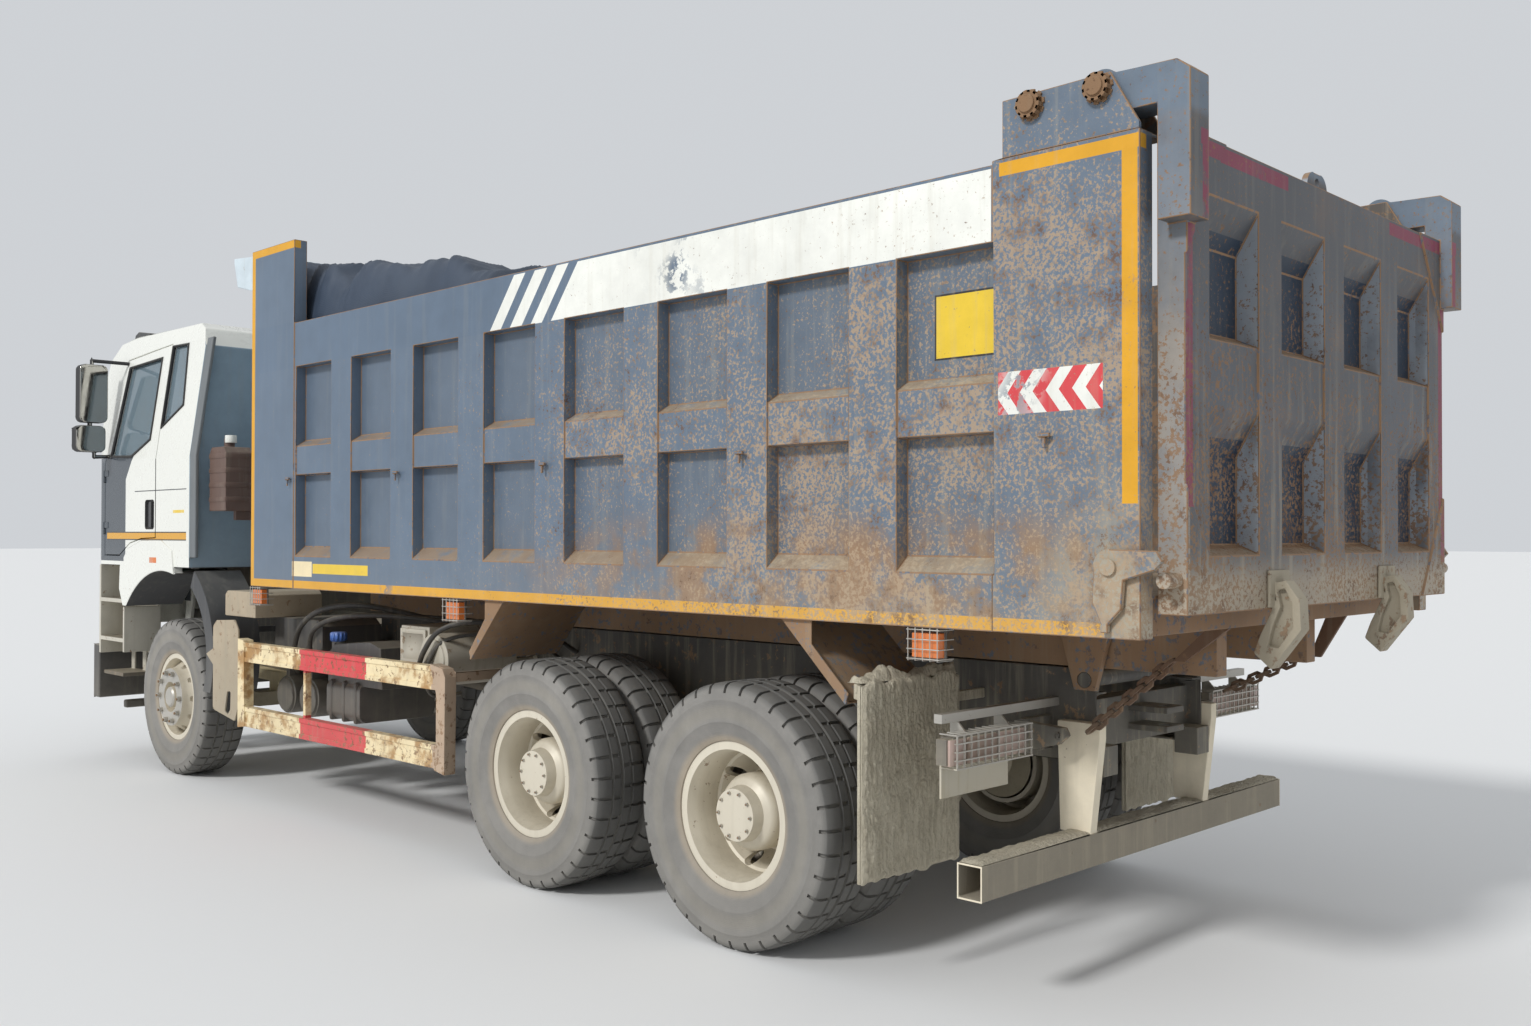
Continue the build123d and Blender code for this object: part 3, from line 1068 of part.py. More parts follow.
for name, side, y, centres in wheels:
    with BuildPart() as tyre:
        for x in centres:
            turned(turned_on_side(shifted(tyre_section, x), side), y, hub_z)
    finish_part(tyre.part, f"tyre_{name}")

    steered = len(centres) == 1
    hole_x = (front_disc_x - 30, 1128) if steered else (twin_disc_x - 135, twin_disc_x + 135)
    with BuildPart() as rim:
        for x in centres:
            turned(turned_on_side(shifted(rim_section, x), side), y, hub_z)
        turned(turned_on_side(front_disc if steered else twin_disc, side), y, hub_z)
        turned(turned_on_side(front_drum if steered else twin_drum, side), y, hub_z)
        hole_circle((side * hole_x[0], side * hole_x[1]), y, hub_z, hand_hole_circle, hand_hole_radius,
                    hand_hole_count)
    finish_part(rim.part, f"rim_{name}")
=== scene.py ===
import json
from math import atan2, pi, radians

import bpy
from mathutils import Matrix, Vector, noise

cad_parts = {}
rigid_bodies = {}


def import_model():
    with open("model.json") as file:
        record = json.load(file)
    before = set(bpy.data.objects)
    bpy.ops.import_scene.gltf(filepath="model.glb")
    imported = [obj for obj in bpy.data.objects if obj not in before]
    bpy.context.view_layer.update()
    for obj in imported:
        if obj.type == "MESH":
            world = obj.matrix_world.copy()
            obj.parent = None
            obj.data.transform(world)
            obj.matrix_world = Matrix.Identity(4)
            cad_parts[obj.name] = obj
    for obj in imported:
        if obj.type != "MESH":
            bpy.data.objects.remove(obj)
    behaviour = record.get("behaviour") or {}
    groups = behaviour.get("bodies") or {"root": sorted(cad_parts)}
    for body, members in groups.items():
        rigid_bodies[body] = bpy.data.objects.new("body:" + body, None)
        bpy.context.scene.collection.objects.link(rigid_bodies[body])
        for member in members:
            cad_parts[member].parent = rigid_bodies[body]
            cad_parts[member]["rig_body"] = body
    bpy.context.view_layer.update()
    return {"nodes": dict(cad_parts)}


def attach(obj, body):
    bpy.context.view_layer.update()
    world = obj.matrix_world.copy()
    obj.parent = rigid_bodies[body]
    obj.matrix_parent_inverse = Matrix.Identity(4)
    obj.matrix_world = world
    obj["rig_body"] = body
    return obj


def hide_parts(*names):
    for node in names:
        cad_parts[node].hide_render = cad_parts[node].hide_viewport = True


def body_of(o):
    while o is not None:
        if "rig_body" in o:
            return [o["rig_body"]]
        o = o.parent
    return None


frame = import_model()
nodes = frame["nodes"]
print("frame loaded")

# colours of the photographed truck, linear; a few of them hold painted shade and painted sunlight, as said beside them
tones = {
    "slate": (0.106, 0.152, 0.215), "slateDark": (0.026, 0.038, 0.058), "pocketSlate": (0.104, 0.143, 0.196),
    "ledgeRust": (0.265, 0.165, 0.095), "rust": (0.27, 0.155, 0.08), "rustDark": (0.13, 0.062, 0.032),
    "tanRust": (0.4, 0.285, 0.185), "yellow": (0.7, 0.34, 0.004), "plateYellow": (0.8, 0.55, 0.03),
    "white": (0.8, 0.8, 0.74), "coolWhite": (0.62, 0.71, 0.76), "dirtyWhite": (0.56, 0.53, 0.45),
    # the underrun's grey mud below is darkened with painted shade, and its posts' beige lightened with painted
    # sunlight
    "mud": (0.44, 0.39, 0.285), "shadedMudGrey": (0.245, 0.22, 0.175), "mudDark": (0.56, 0.5, 0.375),
    "mudPale": (0.74, 0.675, 0.525), "dust": (0.36, 0.315, 0.235), "sunlitPostBeige": (0.78, 0.7, 0.54),
    "taupe": (0.088, 0.08, 0.076), "cream": (0.84, 0.7, 0.43), "red": (0.64, 0.05, 0.06),
    "dullRed": (0.33, 0.13, 0.12), "dullPink": (0.62, 0.4, 0.37), "wine": (0.21, 0.02, 0.06),
    "orange": (0.74, 0.2, 0.045), "black": (0.018, 0.018, 0.02), "plastic": (0.045, 0.047, 0.052),
    # the cab's back tone below is its white paint in painted shade, a blue-grey
    "trimDark": (0.052, 0.064, 0.078), "trimGrey": (0.15, 0.165, 0.175), "cabBackShade": (0.245, 0.34, 0.42),
    "rubber": (0.112, 0.11, 0.104), "rubberDust": (0.19, 0.18, 0.158), "wallGrey": (0.3, 0.285, 0.262),
    "wallBand": (0.27, 0.25, 0.21), "iron": (0.085, 0.07, 0.056), "steel": (0.48, 0.465, 0.43),
    "tan": (0.43, 0.35, 0.25), "rim": (0.8, 0.74, 0.61), "glass": (0.3, 0.4, 0.46), "tarp": (0.028, 0.046, 0.078),
    "tarpPale": (0.042, 0.062, 0.096), "blue": (0.03, 0.12, 0.42), "seat": (0.085, 0.085, 0.095),
    # the tailgate's tones below include painted shade for the recessed bays, painted sunlight for the left faces, and
    # painted sunlight mixed with dust for the side columns
    "seatStripe": (0.16, 0.17, 0.19), "brownTank": (0.12, 0.07, 0.055), "gateBayShade": (0.018, 0.034, 0.06),
    "gateFace": (0.074, 0.08, 0.092), "gateOuterSunlit": (0.15, 0.185, 0.23), "gateRibSunlit": (0.36, 0.4, 0.45),
    "gateBlue": (0.085, 0.1, 0.125), "gateBrown": (0.165, 0.105, 0.066), "gateColumnDustAndSun": (0.3, 0.27, 0.235),
    "gateArm": (0.128, 0.17, 0.222), "guardRust": (0.43, 0.24, 0.085), "guardPost": (0.46, 0.335, 0.235)}
tones = {name: (*color, 1) for name, color in tones.items()}


class Wire:
    # a node's output that can stand in sums and comparisons, with one math node for each sign
    def __init__(self, tree, socket):
        self.tree, self.socket = tree, socket

    def reckon(self, operation, other=0, turned=False, clamp=False):
        pair = (other, self) if turned else (self, other)
        return wire(self.tree, "ShaderNodeMath", dict(enumerate(pair)), operation=operation, use_clamp=clamp)

    def feed(self, socket):
        self.tree.links.new(self.socket, socket)

    __add__ = __radd__ = lambda self, other: self.reckon("ADD", other)
    __sub__ = lambda self, other: self.reckon("SUBTRACT", other)
    __rsub__ = lambda self, other: self.reckon("SUBTRACT", other, turned=True)
    __mul__ = lambda self, other: self.reckon("MULTIPLY", other)
    __gt__ = lambda self, other: self.reckon("GREATER_THAN", other)
    __lt__ = lambda self, other: self.reckon("LESS_THAN", other)
    __abs__ = lambda self: self.reckon("ABSOLUTE")


def addNode(tree, kind, inputs=None, **settings):
    node = tree.nodes.new(kind)
    for name, value in settings.items():
        setattr(node, name, value)
    for name, value in (inputs or {}).items():
        if isinstance(value, Wire):
            value.feed(node.inputs[name])
        else:
            node.inputs[name].default_value = value
    return node


def wire(tree, kind, inputs=None, output=0, **settings):
    return Wire(tree, addNode(tree, kind, inputs, **settings).outputs[output])


def coordinates(tree, kind="Object"):
    # the place or the facing, and its three parts
    place = wire(tree, "ShaderNodeTexCoord", output=kind)
    return place, [Wire(tree, part) for part in addNode(tree, "ShaderNodeSeparateXYZ", {0: place}).outputs]


def ramp(value, start, end, low=0, high=1):
    ends = {"From Min": start, "From Max": end, "To Min": low, "To Max": high}
    return wire(value.tree, "ShaderNodeMapRange", {"Value": value, **ends}, interpolation_type="SMOOTHSTEP")


def blendColor(factor, *pair):
    # the colours are a tone's name or a wire
    first, second = (tones[color] if isinstance(color, str) else color for color in pair)
    return wire(factor.tree, "ShaderNodeMix", {0: factor, 6: first, 7: second}, 2, data_type="RGBA")


def cloudiness(place, scale, detail=4, rough=0.6):
    given = {"Vector": place, "Scale": scale, "Detail": detail, "Roughness": rough}
    return wire(place.tree, "ShaderNodeTexNoise", given)


def spots(place, scale, detail, *ends):
    return ramp(cloudiness(place, scale, detail), *ends)


def stretch(place, flat, upright):
    return wire(place.tree, "ShaderNodeMapping", {0: place, "Scale": (flat, flat, upright)})


def inside(across, up, left, right, bottom, top):
    return (across > left) * (across < right) * (up > bottom) * (up < top)


def startGroup(name, inputs, outputs):
    tree = bpy.data.node_groups.new(name, "ShaderNodeTree")
    for label, value in inputs.items():
        kind = "NodeSocketColor" if isinstance(value, tuple) else "NodeSocketFloat"
        tree.interface.new_socket(name=label, in_out="INPUT", socket_type=kind).default_value = value
    for label in outputs:
        kind = "NodeSocketColor" if label == "Color" else "NodeSocketFloat"
        tree.interface.new_socket(name=label, in_out="OUTPUT", socket_type=kind)
    entry = tree.nodes.new("NodeGroupInput").outputs
    return tree, {label: Wire(tree, entry[label]) for label in inputs}, tree.nodes.new("NodeGroupOutput").inputs


def makePatchGroup():
    # one painted or taped patch with chipped edges, laid out on two coordinates
    tree, given, out = startGroup("patch", dict.fromkeys((
        "Across", "Up", "Left", "Right", "Bottom", "Top", "Slant", "Chips"), 0), ("Mask",))
    place, _ = coordinates(tree)
    across = given["Across"] - given["Slant"] * (given["Up"] - given["Bottom"])
    mask = inside(across, given["Up"], given["Left"], given["Right"], given["Bottom"], given["Top"])
    flakes = ramp(cloudiness(place, 17, 8, 0.72), 0.5, 0.54)
    worn = flakes * spots(place, 1.9, 2, 0.72 - given["Chips"], 0.74)
    (mask * (1 - worn)).feed(out["Mask"])
    return tree


def makeAgeingGroup():
    # paint fade, rust blotches, run-off streaks and road dust
    tree, given, out = startGroup("ageing", {
        "Color": tones["slate"], "Roughness": 0.5, "Rust": 0, "Rust Size": 20, "Rust Color": tones["rust"],
        "Dust": 0.3, "Dust Color": tones["dust"], "Splash": 1.2, "Streaks": 0.15, "Fade": 0.35},
        ("Color", "Roughness", "Height"))
    place, (_, _, high) = coordinates(tree)
    up = coordinates(tree, "Normal")[1][2]
    cloud = cloudiness(place, 1.6, 3)
    mottle = cloudiness(place, 11, 6, 0.65)
    grain = cloudiness(place, 150, 2)
    runs = cloudiness(stretch(place, 9, 0.55), 2.4, 5)
    shade = given["Fade"] * ((cloud - 0.5) * 1.3 + (mottle - 0.5)) + 1
    color = wire(tree, "ShaderNodeVectorMath", {0: given["Color"], "Scale": shade}, operation="SCALE")
    blotch = cloudiness(place, given["Rust Size"], 9, 0.68)
    edge = 0.72 - given["Rust"] * (cloud * 0.3 + 0.03)
    rusty = ramp(blotch, edge, edge + 0.035)
    rustTone = blendColor(ramp(mottle, 0.32, 0.54), "rustDark", given["Rust Color"])
    color = blendColor(rusty * 0.85, color, rustTone)
    low = ramp(high, given["Splash"] - 0.9, given["Splash"], 1, 0)
    lying = ramp(up, 0.25, 0.85) * 0.85 + (low * 0.85 + 0.16)
    dusty = given["Dust"] * (lying * (mottle + 0.35))
    streaky = given["Streaks"] * ramp(runs, 0.5, 0.68) * 0.8
    dusty = dusty.reckon("ADD", streaky, clamp=True)
    blendColor(dusty, color, given["Dust Color"]).feed(out["Color"])
    rough = given["Roughness"] + (mottle - 0.5) * 0.25
    rough.reckon("MAXIMUM", rusty.reckon("MAXIMUM", dusty) * 0.88, clamp=True).feed(out["Roughness"])
    (grain * 0.22 + rusty * 0.35 + mottle * dusty * 0.9).feed(out["Height"])
    return tree


patch, ageing = makePatchGroup(), makeAgeingGroup()
materials = {}


def paint(name, color, roughness, wear, metallic=0, bump=0.25, depth=0.003, special=None, coat=0, **more):
    # the wear is how much rust and dust, how high the road's splash reaches, and how many streaks
    material = bpy.data.materials.new(name)
    material.use_nodes = True
    tree = material.node_tree
    shader = tree.nodes["Principled BSDF"].inputs
    values = {"Color": tones[color], "Roughness": roughness, **dict(zip(("Rust", "Dust", "Splash", "Streaks"), wear))}
    values.update({label.replace("_", " "): tones[v] if isinstance(v, str) else v for label, v in more.items()})
    extra = None
    if special:
        extra = special(values, *coordinates(tree), coordinates(tree, "Normal")[1])
    aged = addNode(tree, "ShaderNodeGroup", values, node_tree=ageing).outputs
    tree.links.new(aged["Color"], shader["Base Color"])
    tree.links.new(aged["Roughness"], shader["Roughness"])
    height = Wire(tree, aged["Height"])
    if extra:
        height += extra
    wire(tree, "ShaderNodeBump", {"Height": height, "Strength": bump, "Distance": depth}).feed(shader["Normal"])
    shader["Metallic"].default_value = metallic
    shader["Coat Weight"].default_value = coat
    materials[name] = material
    return shader


def layPatch(color, tone, across, up, area, chips=0.1, only=None, slant=0):
    ends = dict(zip(("Left", "Right", "Bottom", "Top"), area))
    given = {"Across": across, "Up": up, **ends, "Slant": slant, "Chips": chips}
    mask = wire(up.tree, "ShaderNodeGroup", given, node_tree=patch)
    return blendColor(mask * only if only else mask, color, tone)


# patches on the sides as first y, last y, bottom z, top z; the slant is y for each metre up
sidePaint = {
    "lines": ((-1.71, 4.18, 1.336, 1.387), (-1.71, -1.655, 1.38, 3.4), (-1.71, -1.15, 3.35, 3.4),
              (3.79, 4.31, 2.858, 2.903), (4.243, 4.297, 1.76, 2.9)),
    "stripes": ((0.838, 0.928), (1.003, 1.097), (1.17, 1.258)), "slant": 0.8, "panel": (1.327, 3.755, 2.645, 2.892),
    "placard": (3.473, 3.746, 2.276, 2.508), "rim": 0.007, "chevrons": (3.786, 4.177, 2.061, 2.203),
    "tooth": 0.098, "toothSlope": -0.75, "sticker": (-1.164, -0.932, -0.305, 1.412, 1.5)}


def paintSide(values, place, spot, facing):
    x, y, z = spot
    lines, stripes, slant, panel, placard, rim, chevrons, tooth, toothSlope, sticker = sidePaint.values()
    outer = abs(x) > 1.21
    color = blendColor(abs(x) < 1.2, "slate", "pocketSlate")
    slope = ramp(facing[2], 0.25, 0.5) * spots(place, 6, 5, 0.34, 0.5)
    color = blendColor(slope * 0.85, color, "ledgeRust")
    lowPocket = ramp(z, 1.6, 1.8, 1, 0) * ramp(y, 0.6, 2.6)
    color = blendColor(lowPocket * spots(place, 5, 6, 0.42, 0.6), color, "rust")
    corner = ramp(y, 3.85, 4.15) * ramp(z, 1.95, 1.5)
    color = blendColor(corner * spots(place, 7, 6, 0.34, 0.6), color, "dust")
    clean = inside(y, z, -2, 3.757, 2.64, 2.91)
    signs = inside(y, z, *placard)
    for area in (chevrons, *lines[3:]):
        signs = signs.reckon("MAXIMUM", inside(y, z, *area))
    heavy = ramp(y, -0.6, 3.6, 0.42, 1.2) * ramp(z, 2.3, 3.3, 1, 0.62) + outer * ramp(y, 0.4, 1.6, 0, 0.12)
    values["Rust"] = heavy * (1 - signs * 0.58) * (1 - clean * 0.55)
    values["Streaks"] = ramp(y, -1, 4.3, 0.06, 0.22)
    values["Dust"] = ramp(y, -0.5, 3.4, 0.18, 0.46) * (1 - signs.reckon("MAXIMUM", clean) * 0.7)
    for first, last in stripes:
        color = layPatch(color, "white", y, z, (first, last, 2.645, 2.895), 0.1, outer, slant)
    face = layPatch(color, "white", y, z, panel, 0.16, outer, slant)
    color = blendColor(y < panel[1], color, face)
    color = layPatch(color, "white", y, z, (3, *panel[1:]), 0.16, outer)
    for area in lines:
        color = layPatch(color, "yellow", y, z, area, 0.14, outer)
    first, last, bottom, top = placard
    color = layPatch(color, "black", y, z, placard, 0.02)
    color = layPatch(color, "plateYellow", y, z, (first + rim, last - rim, bottom + rim, top - rim), 0.06)
    color = layPatch(color, "white", y, z, chevrons, 0.12)
    middle = sum(chevrons[2:]) / 2
    bent = y + abs(z - middle) * toothSlope
    teeth = bent.reckon("DIVIDE", tooth).reckon("FRACT") < 0.5
    color = layPatch(color, "red", y, z, chevrons, 0.16, teeth)
    first, middle, last, bottom, top = sticker
    color = layPatch(color, "cream", y, z, (first, middle, bottom, top), 0.1)
    values["Color"] = layPatch(color, "plateYellow", y, z, (middle + 0.01, last, bottom + 0.02, top - 0.012), 0.05)


# reflecting strips on the tailgate as left x, right x, bottom z, top z
gateStrips = ((0.4, 1.16, 2.855, 2.905), (-1.16, -0.55, 2.855, 2.905), (1.105, 1.15, 1.75, 2.88),
              (-1.15, -1.105, 1.55, 2.88))


def paintGate(values, place, spot, facing):
    x, y, z = spot
    outer = y > 4.352
    # the recessed bays get a near-black blue, painted shade in the recesses; the faces standing out keep the gate's
    # slate
    color = blendColor(outer, "gateBayShade", "gateFace")
    # faces looking to +X turn much lighter, pale on the ribs and slate on the columns: painted sunlight on their left
    # faces
    sunlitSides = blendColor(abs(x) < 1.1, "gateOuterSunlit", "gateRibSunlit")
    color = blendColor(ramp(facing[0], 0.5, 0.9) * 0.9, color, sunlitSides)
    blue = spots(place, 1.3, 6, 0.45, 0.62)
    color = blendColor(blue * (outer * 0.8), color, "gateBlue")
    brown = spots(place, 2.6, 7, 0.5, 0.7) * (outer * 0.32 + 0.08)
    color = blendColor(brown, color, "gateBrown")
    # the side columns turn a mottled pale beige, most towards the bottom: partly dust, partly painted sunlight on the
    # lit column
    column = (abs(x) > 1.14) * spots(place, 4, 6, 0.3, 0.62, 0.35, 1)
    color = blendColor(column * ramp(z, 2.9, 2.1), color, "gateColumnDustAndSun")
    color = blendColor(ramp(z, 2.93, 2.97), color, "gateArm")
    color = blendColor(ramp(facing[2], 0.3, 0.6), color, "rust")
    color = blendColor(ramp(z, 1.62, 1.48) * 0.75, color, "tan")
    rear = facing[1] > 0.5
    for area in gateStrips:
        color = layPatch(color, "wine", x, z, area, 0.2, rear)
    values["Color"] = color
    values["Rust"] = ramp(z, 3, 1.5, 0.75, 1.15)
    values["Dust"] = outer * 0.2 + 0.05
    values["Streaks"] = ramp(z, 2.6, 1.5, 0.15, 0.55) * (outer * 0.7 + 0.3)


# patches on the cab's sides as tone, place, chips and slant
cabPatches = (("trimDark", (-4.35, -3.725, 1.461, 2.218), 0, 0), ("trimDark", (-4.35, -3.725, 2.05, 2.218), 0, 0.8),
              ("plastic", (-3.56, -2.684, 1.956, 1.963), 0, 0), ("black", (-4.072, -2.684, 1.613, 1.673), 0, 0),
              ("yellow", (-4.072, -2.684, 1.621, 1.665), 0.04, 0),
              ("plateYellow", (-2.9, -2.72, 1.8, 1.82), 0.3, 0))


def paintCab(values, place, spot, facing):
    x, y, z = spot
    outer = abs(x) > 1.1
    color = layPatch("white", "trimDark", x, z, (-0.83, 0.83, 1.13, 2), 0, y < -4.3)
    for tone, area, chips, slant in cabPatches:
        color = layPatch(color, tone, y, z, area, chips, outer, slant)
    values["Color"] = color
    values["Rust"] = ramp(z, 1.9, 1.2, 0.1, 0.45)


def paintGuard(values, place, spot, facing):
    x, y, z = spot
    color = blendColor(spots(place, 5, 7, 0.46, 0.6), "cream", "guardRust")
    post = (y > 0.26).reckon("MAXIMUM", abs(x) < 1.12)
    color = blendColor(post, color, "guardPost")
    for bottom, top in ((0.44, 0.59), (0.84, 0.99)):
        color = layPatch(color, "red", y, z, (-1.165, -0.41, bottom, top), 0.12)
    values["Color"] = color


def paintTyre(values, place, spot, facing):
    ring = wire(place.tree, "ShaderNodeAttribute", output="Fac", attribute_name="ring")
    groove = wire(place.tree, "ShaderNodeAttribute", output="Fac", attribute_name="groove")
    wall = ramp(ring, 0.5, 0.528, 1, 0)
    pale = wall * spots(place, 3, 6, 0.25, 0.75, 0.55, 1)
    color = blendColor(pale * 0.8, "rubber", "wallGrey")
    band = ramp(ring, 0.375, 0.405) * ramp(ring, 0.455, 0.425)
    color = blendColor(band * 0.5, color, "wallBand")
    color = blendColor(ramp(ring, 0.335, 0.305) * 0.6, color, "tan")
    values["Color"] = blendColor(ramp(groove, 0.2, 0.8) * 0.75, color, "rubberDust")
    return (ring * 900).reckon("SINE") * (wall * 0.12)


def paintTarp(values, place, spot, facing):
    weave = wire(place.tree, "ShaderNodeTexWave", {"Vector": place, "Scale": 160, "Distortion": 0.4}, 1)
    values["Color"] = blendColor(spots(place, 2.2, 5, 0.4, 0.7), "tarp", "tarpPale")
    return weave * 0.4


def paintSeat(values, place, spot, facing):
    weave = wire(place.tree, "ShaderNodeTexWave", {"Vector": place, "Scale": 220, "Distortion": 0.2}, 1)
    stripe = spot[0].reckon("PINGPONG", 0.06) < 0.012
    values["Color"] = blendColor(stripe * 0.6, "seat", "seatStripe")
    return weave * 0.5


def paintMud(values, place, spot, facing):
    runs = cloudiness(stretch(place, 30, 4.5), 1.6, 6, 0.7)
    lumps = cloudiness(place, 60, 7, 0.75)
    values["Color"] = blendColor(ramp(runs, 0.34, 0.6), "mudDark", "mudPale")
    return runs * 2 + lumps * 1.4


def makeMaterials():
    paint("sideSlate", "slate", 0.42, (0, 0.3, 1.75), special=paintSide, Dust_Color="mud", Rust_Size=72, Fade=0.3,
          coat=0.08, Rust_Color="tanRust")
    paint("boxInside", "taupe", 0.7, (1.3, 0.55, 1.9, 0.4), metallic=0.2, Dust_Color="tan")
    paint("slateWorn", "rust", 0.7, (0.9, 0.25, 1.6), Rust_Size=34, Rust_Color="slate")
    paint("gateSlate", "slateDark", 0.5, (0, 0.3, 1.9), special=paintGate, Rust_Size=62, Fade=0.45)
    paint("headWhite", "coolWhite", 0.4, (0.35, 0.2, 1.4, 0.2))
    paint("cabWhite", "white", 0.28, (0, 0.07, 1.45, 0.02), special=paintCab, Rust_Size=40, Fade=0.04, bump=0.015,
          coat=0.3)
    paint("cabInside", "seat", 0.75, (0, 0.2, 1.4), bump=0.3)
    paint("blackRubber", "black", 0.62, (0, 0.16, 1.3, 0.08))
    paint("blackPlastic", "plastic", 0.5, (0, 0.28, 1.2, 0.1))
    # the cab's rear wall: its white paint darkened to a blue-grey, painted shade
    paint("cabRear", "cabBackShade", 0.5, (0, 0.22, 1.9, 0.12))
    paint("trimPlastic", "trimGrey", 0.5, (0, 0.2, 1.4, 0.08))
    paint("chassisBlack", "plastic", 0.75, (0.7, 0.42, 1.4, 0.3), Dust_Color="mud", bump=0.5)
    paint("axleMud", "iron", 0.85, (0.5, 1.15, 1.5, 0.5), Dust_Color="mud", bump=0.8, depth=0.006)
    paint("springMud", "mud", 0.9, (0.5, 0.8, 1.7, 0.4), Dust_Color="cream", bump=0.8, depth=0.006)
    paint("engineGrey", "iron", 0.6, (0.6, 0.5, 1.6), metallic=0.3)
    paint("tankBlack", "plastic", 0.42, (0, 0.42, 1.2, 0.12))
    paint("tankBrown", "brownTank", 0.45, (0.1, 0.3, 1.2, 0.2))
    paint("boxGrey", "dirtyWhite", 0.6, (0.7, 0.55, 1.6, 0.4))
    paint("boxDark", "plastic", 0.55, (0.35, 0.45, 1.3, 0.2))
    paint("guardCream", "cream", 0.55, (0.85, 0.3, 0.9, 0.2), special=paintGuard, Rust_Size=26, bump=0.4)
    paint("arcGrey", "plastic", 0.5, (0, 0.55, 1.3, 0.25), Dust_Color="rubberDust")
    paint("plateTan", "tan", 0.8, (0.7, 0.6, 1.4, 0.5), Fade=0.5, bump=0.5)
    paint("mudCake", "mud", 1, (0, 0.25, 1.3), special=paintMud, bump=0.9, depth=0.012)
    paint("lampBlack", "plastic", 0.5, (0.2, 0.6, 1.6, 0.2))
    paint("cageWire", "steel", 0.45, (0.4, 0.4, 1.5), metallic=0.5, Rust_Size=60)
    paint("lensOrange", "orange", 0.25, (0, 0.22, 1.4), coat=0.3, bump=0.15)
    paint("lensRed", "dullRed", 0.35, (0, 0.9, 1.6), coat=0.2, bump=0.15)
    paint("lensPink", "dullPink", 0.3, (0, 0.7, 1.6), coat=0.2, bump=0.15)
    paint("lensClear", "white", 0.12, (0, 0.15), coat=0.5, bump=0.1)
    paint("plateWhite", "dirtyWhite", 0.6, (0.1, 0.8, 1.4, 0.5), Dust_Color="mud")
    # the underrun's posts and side faces: pale dried mud, lightened with painted sunlight
    paint("postMud", "sunlitPostBeige", 0.85, (0.3, 0.12, 0.9, 0.12), bump=0.5)
    # the underrun bar: dried mud darkened with painted shade
    paint("underrunMud", "shadedMudGrey", 0.9, (0.35, 0.4, 1.3, 0.5), bump=0.8, depth=0.006)
    paint("bumperGrey", "plastic", 0.5, (0, 0.45, 1))
    paint("stepCream", "dirtyWhite", 0.55, (0.5, 0.4, 1.2, 0.2))
    paint("treadBrown", "iron", 0.7, (0.8, 0.5, 1.3), metallic=0.3)
    paint("mirrorShell", "black", 0.6, (0, 0.05, 1.2, 0.02))
    paint("mirrorGlass", "steel", 0.06, (0, 0.06, 1), metallic=1, bump=0.02, Fade=0.05)
    paint("lockMud", "dust", 0.8, (0.9, 0.5, 1.8, 0.4), Rust_Size=26, bump=0.8)
    paint("chainRust", "rustDark", 0.7, (0.8, 0.5, 1.4), metallic=0.3)
    paint("hoistBright", "steel", 0.22, (0, 0.25, 1.6), metallic=0.9)
    paint("hoistPaint", "slate", 0.5, (0.5, 0.5, 1.8, 0.2))
    paint("knuckleIron", "iron", 0.7, (0.5, 0.9, 1.3), metallic=0.2, Dust_Color="mud")
    paint("rimCream", "rim", 0.48, (0.45, 0.42, 1.4, 0.1), metallic=0.1, Rust_Size=30, Fade=0.3)
    paint("ringSteel", "steel", 0.42, (0.25,), metallic=0.35, Rust_Size=45, bump=0.2)
    paint("nutSteel", "steel", 0.38, (0.6, 0.25, 1.4), metallic=0.75, Rust_Size=45)
    paint("tyreRubber", "rubber", 0.82, (0, 0.34, 0.9), special=paintTyre, Dust_Color="rubberDust", bump=0.35,
          Fade=0.5)
    paint("tarpCloth", "tarp", 0.55, (0, 0.04, 1, 0), special=paintTarp, bump=0.3)
    paint("seatCloth", "seat", 0.9, (0, 0.15, 1), special=paintSeat, bump=0.4)
    paint("hoseRubber", "black", 0.55, (0, 0.4, 1.3), bump=0.3)
    paint("capBlue", "blue", 0.4, (0, 0.3, 1.3))
    paint("nutRust", "rust", 0.7, (0.9, 0.3, 1.4), metallic=0.35, bump=0.6)
    glass = paint("cabGlass", "glass", 0.06, (0, 0.1, 1), bump=0.02, Fade=0)
    glass["Transmission Weight"].default_value = 0.55
    glass["Roughness"].default_value = 0.06
    print("materials:", len(materials))


makeMaterials()


def selectOnly(*pieces):
    bpy.ops.object.select_all(action="DESELECT")
    for piece in pieces:
        piece.select_set(True)
    bpy.context.view_layer.objects.active = pieces[0]


def startEdit(piece, kind="EDGE", action="SELECT"):
    selectOnly(piece)
    bpy.ops.object.mode_set(mode="EDIT")
    bpy.ops.mesh.select_mode(type=kind)
    bpy.ops.mesh.select_all(action=action)


def endEdit():
    bpy.ops.object.mode_set(mode="OBJECT")


def openFaces(piece, rule):
    # edit mode with the faces whose centre and normal fit the rule
    startEdit(piece, "FACE", "DESELECT")
    endEdit()
    for face in piece.data.polygons:
        face.select = bool(rule(face.center, face.normal))
    bpy.ops.object.mode_set(mode="EDIT")


def pushFaces(piece, rule, push, inset=0):
    # moves those faces along their normals, with walls behind them
    openFaces(piece, rule)
    if inset:
        bpy.ops.mesh.inset(thickness=inset)
    bpy.ops.mesh.extrude_region_shrink_fatten(TRANSFORM_OT_shrink_fatten={"value": push})
    endEdit()


def evenNormals(piece):
    startEdit(piece)
    bpy.ops.mesh.normals_make_consistent(inside=False)
    endEdit()


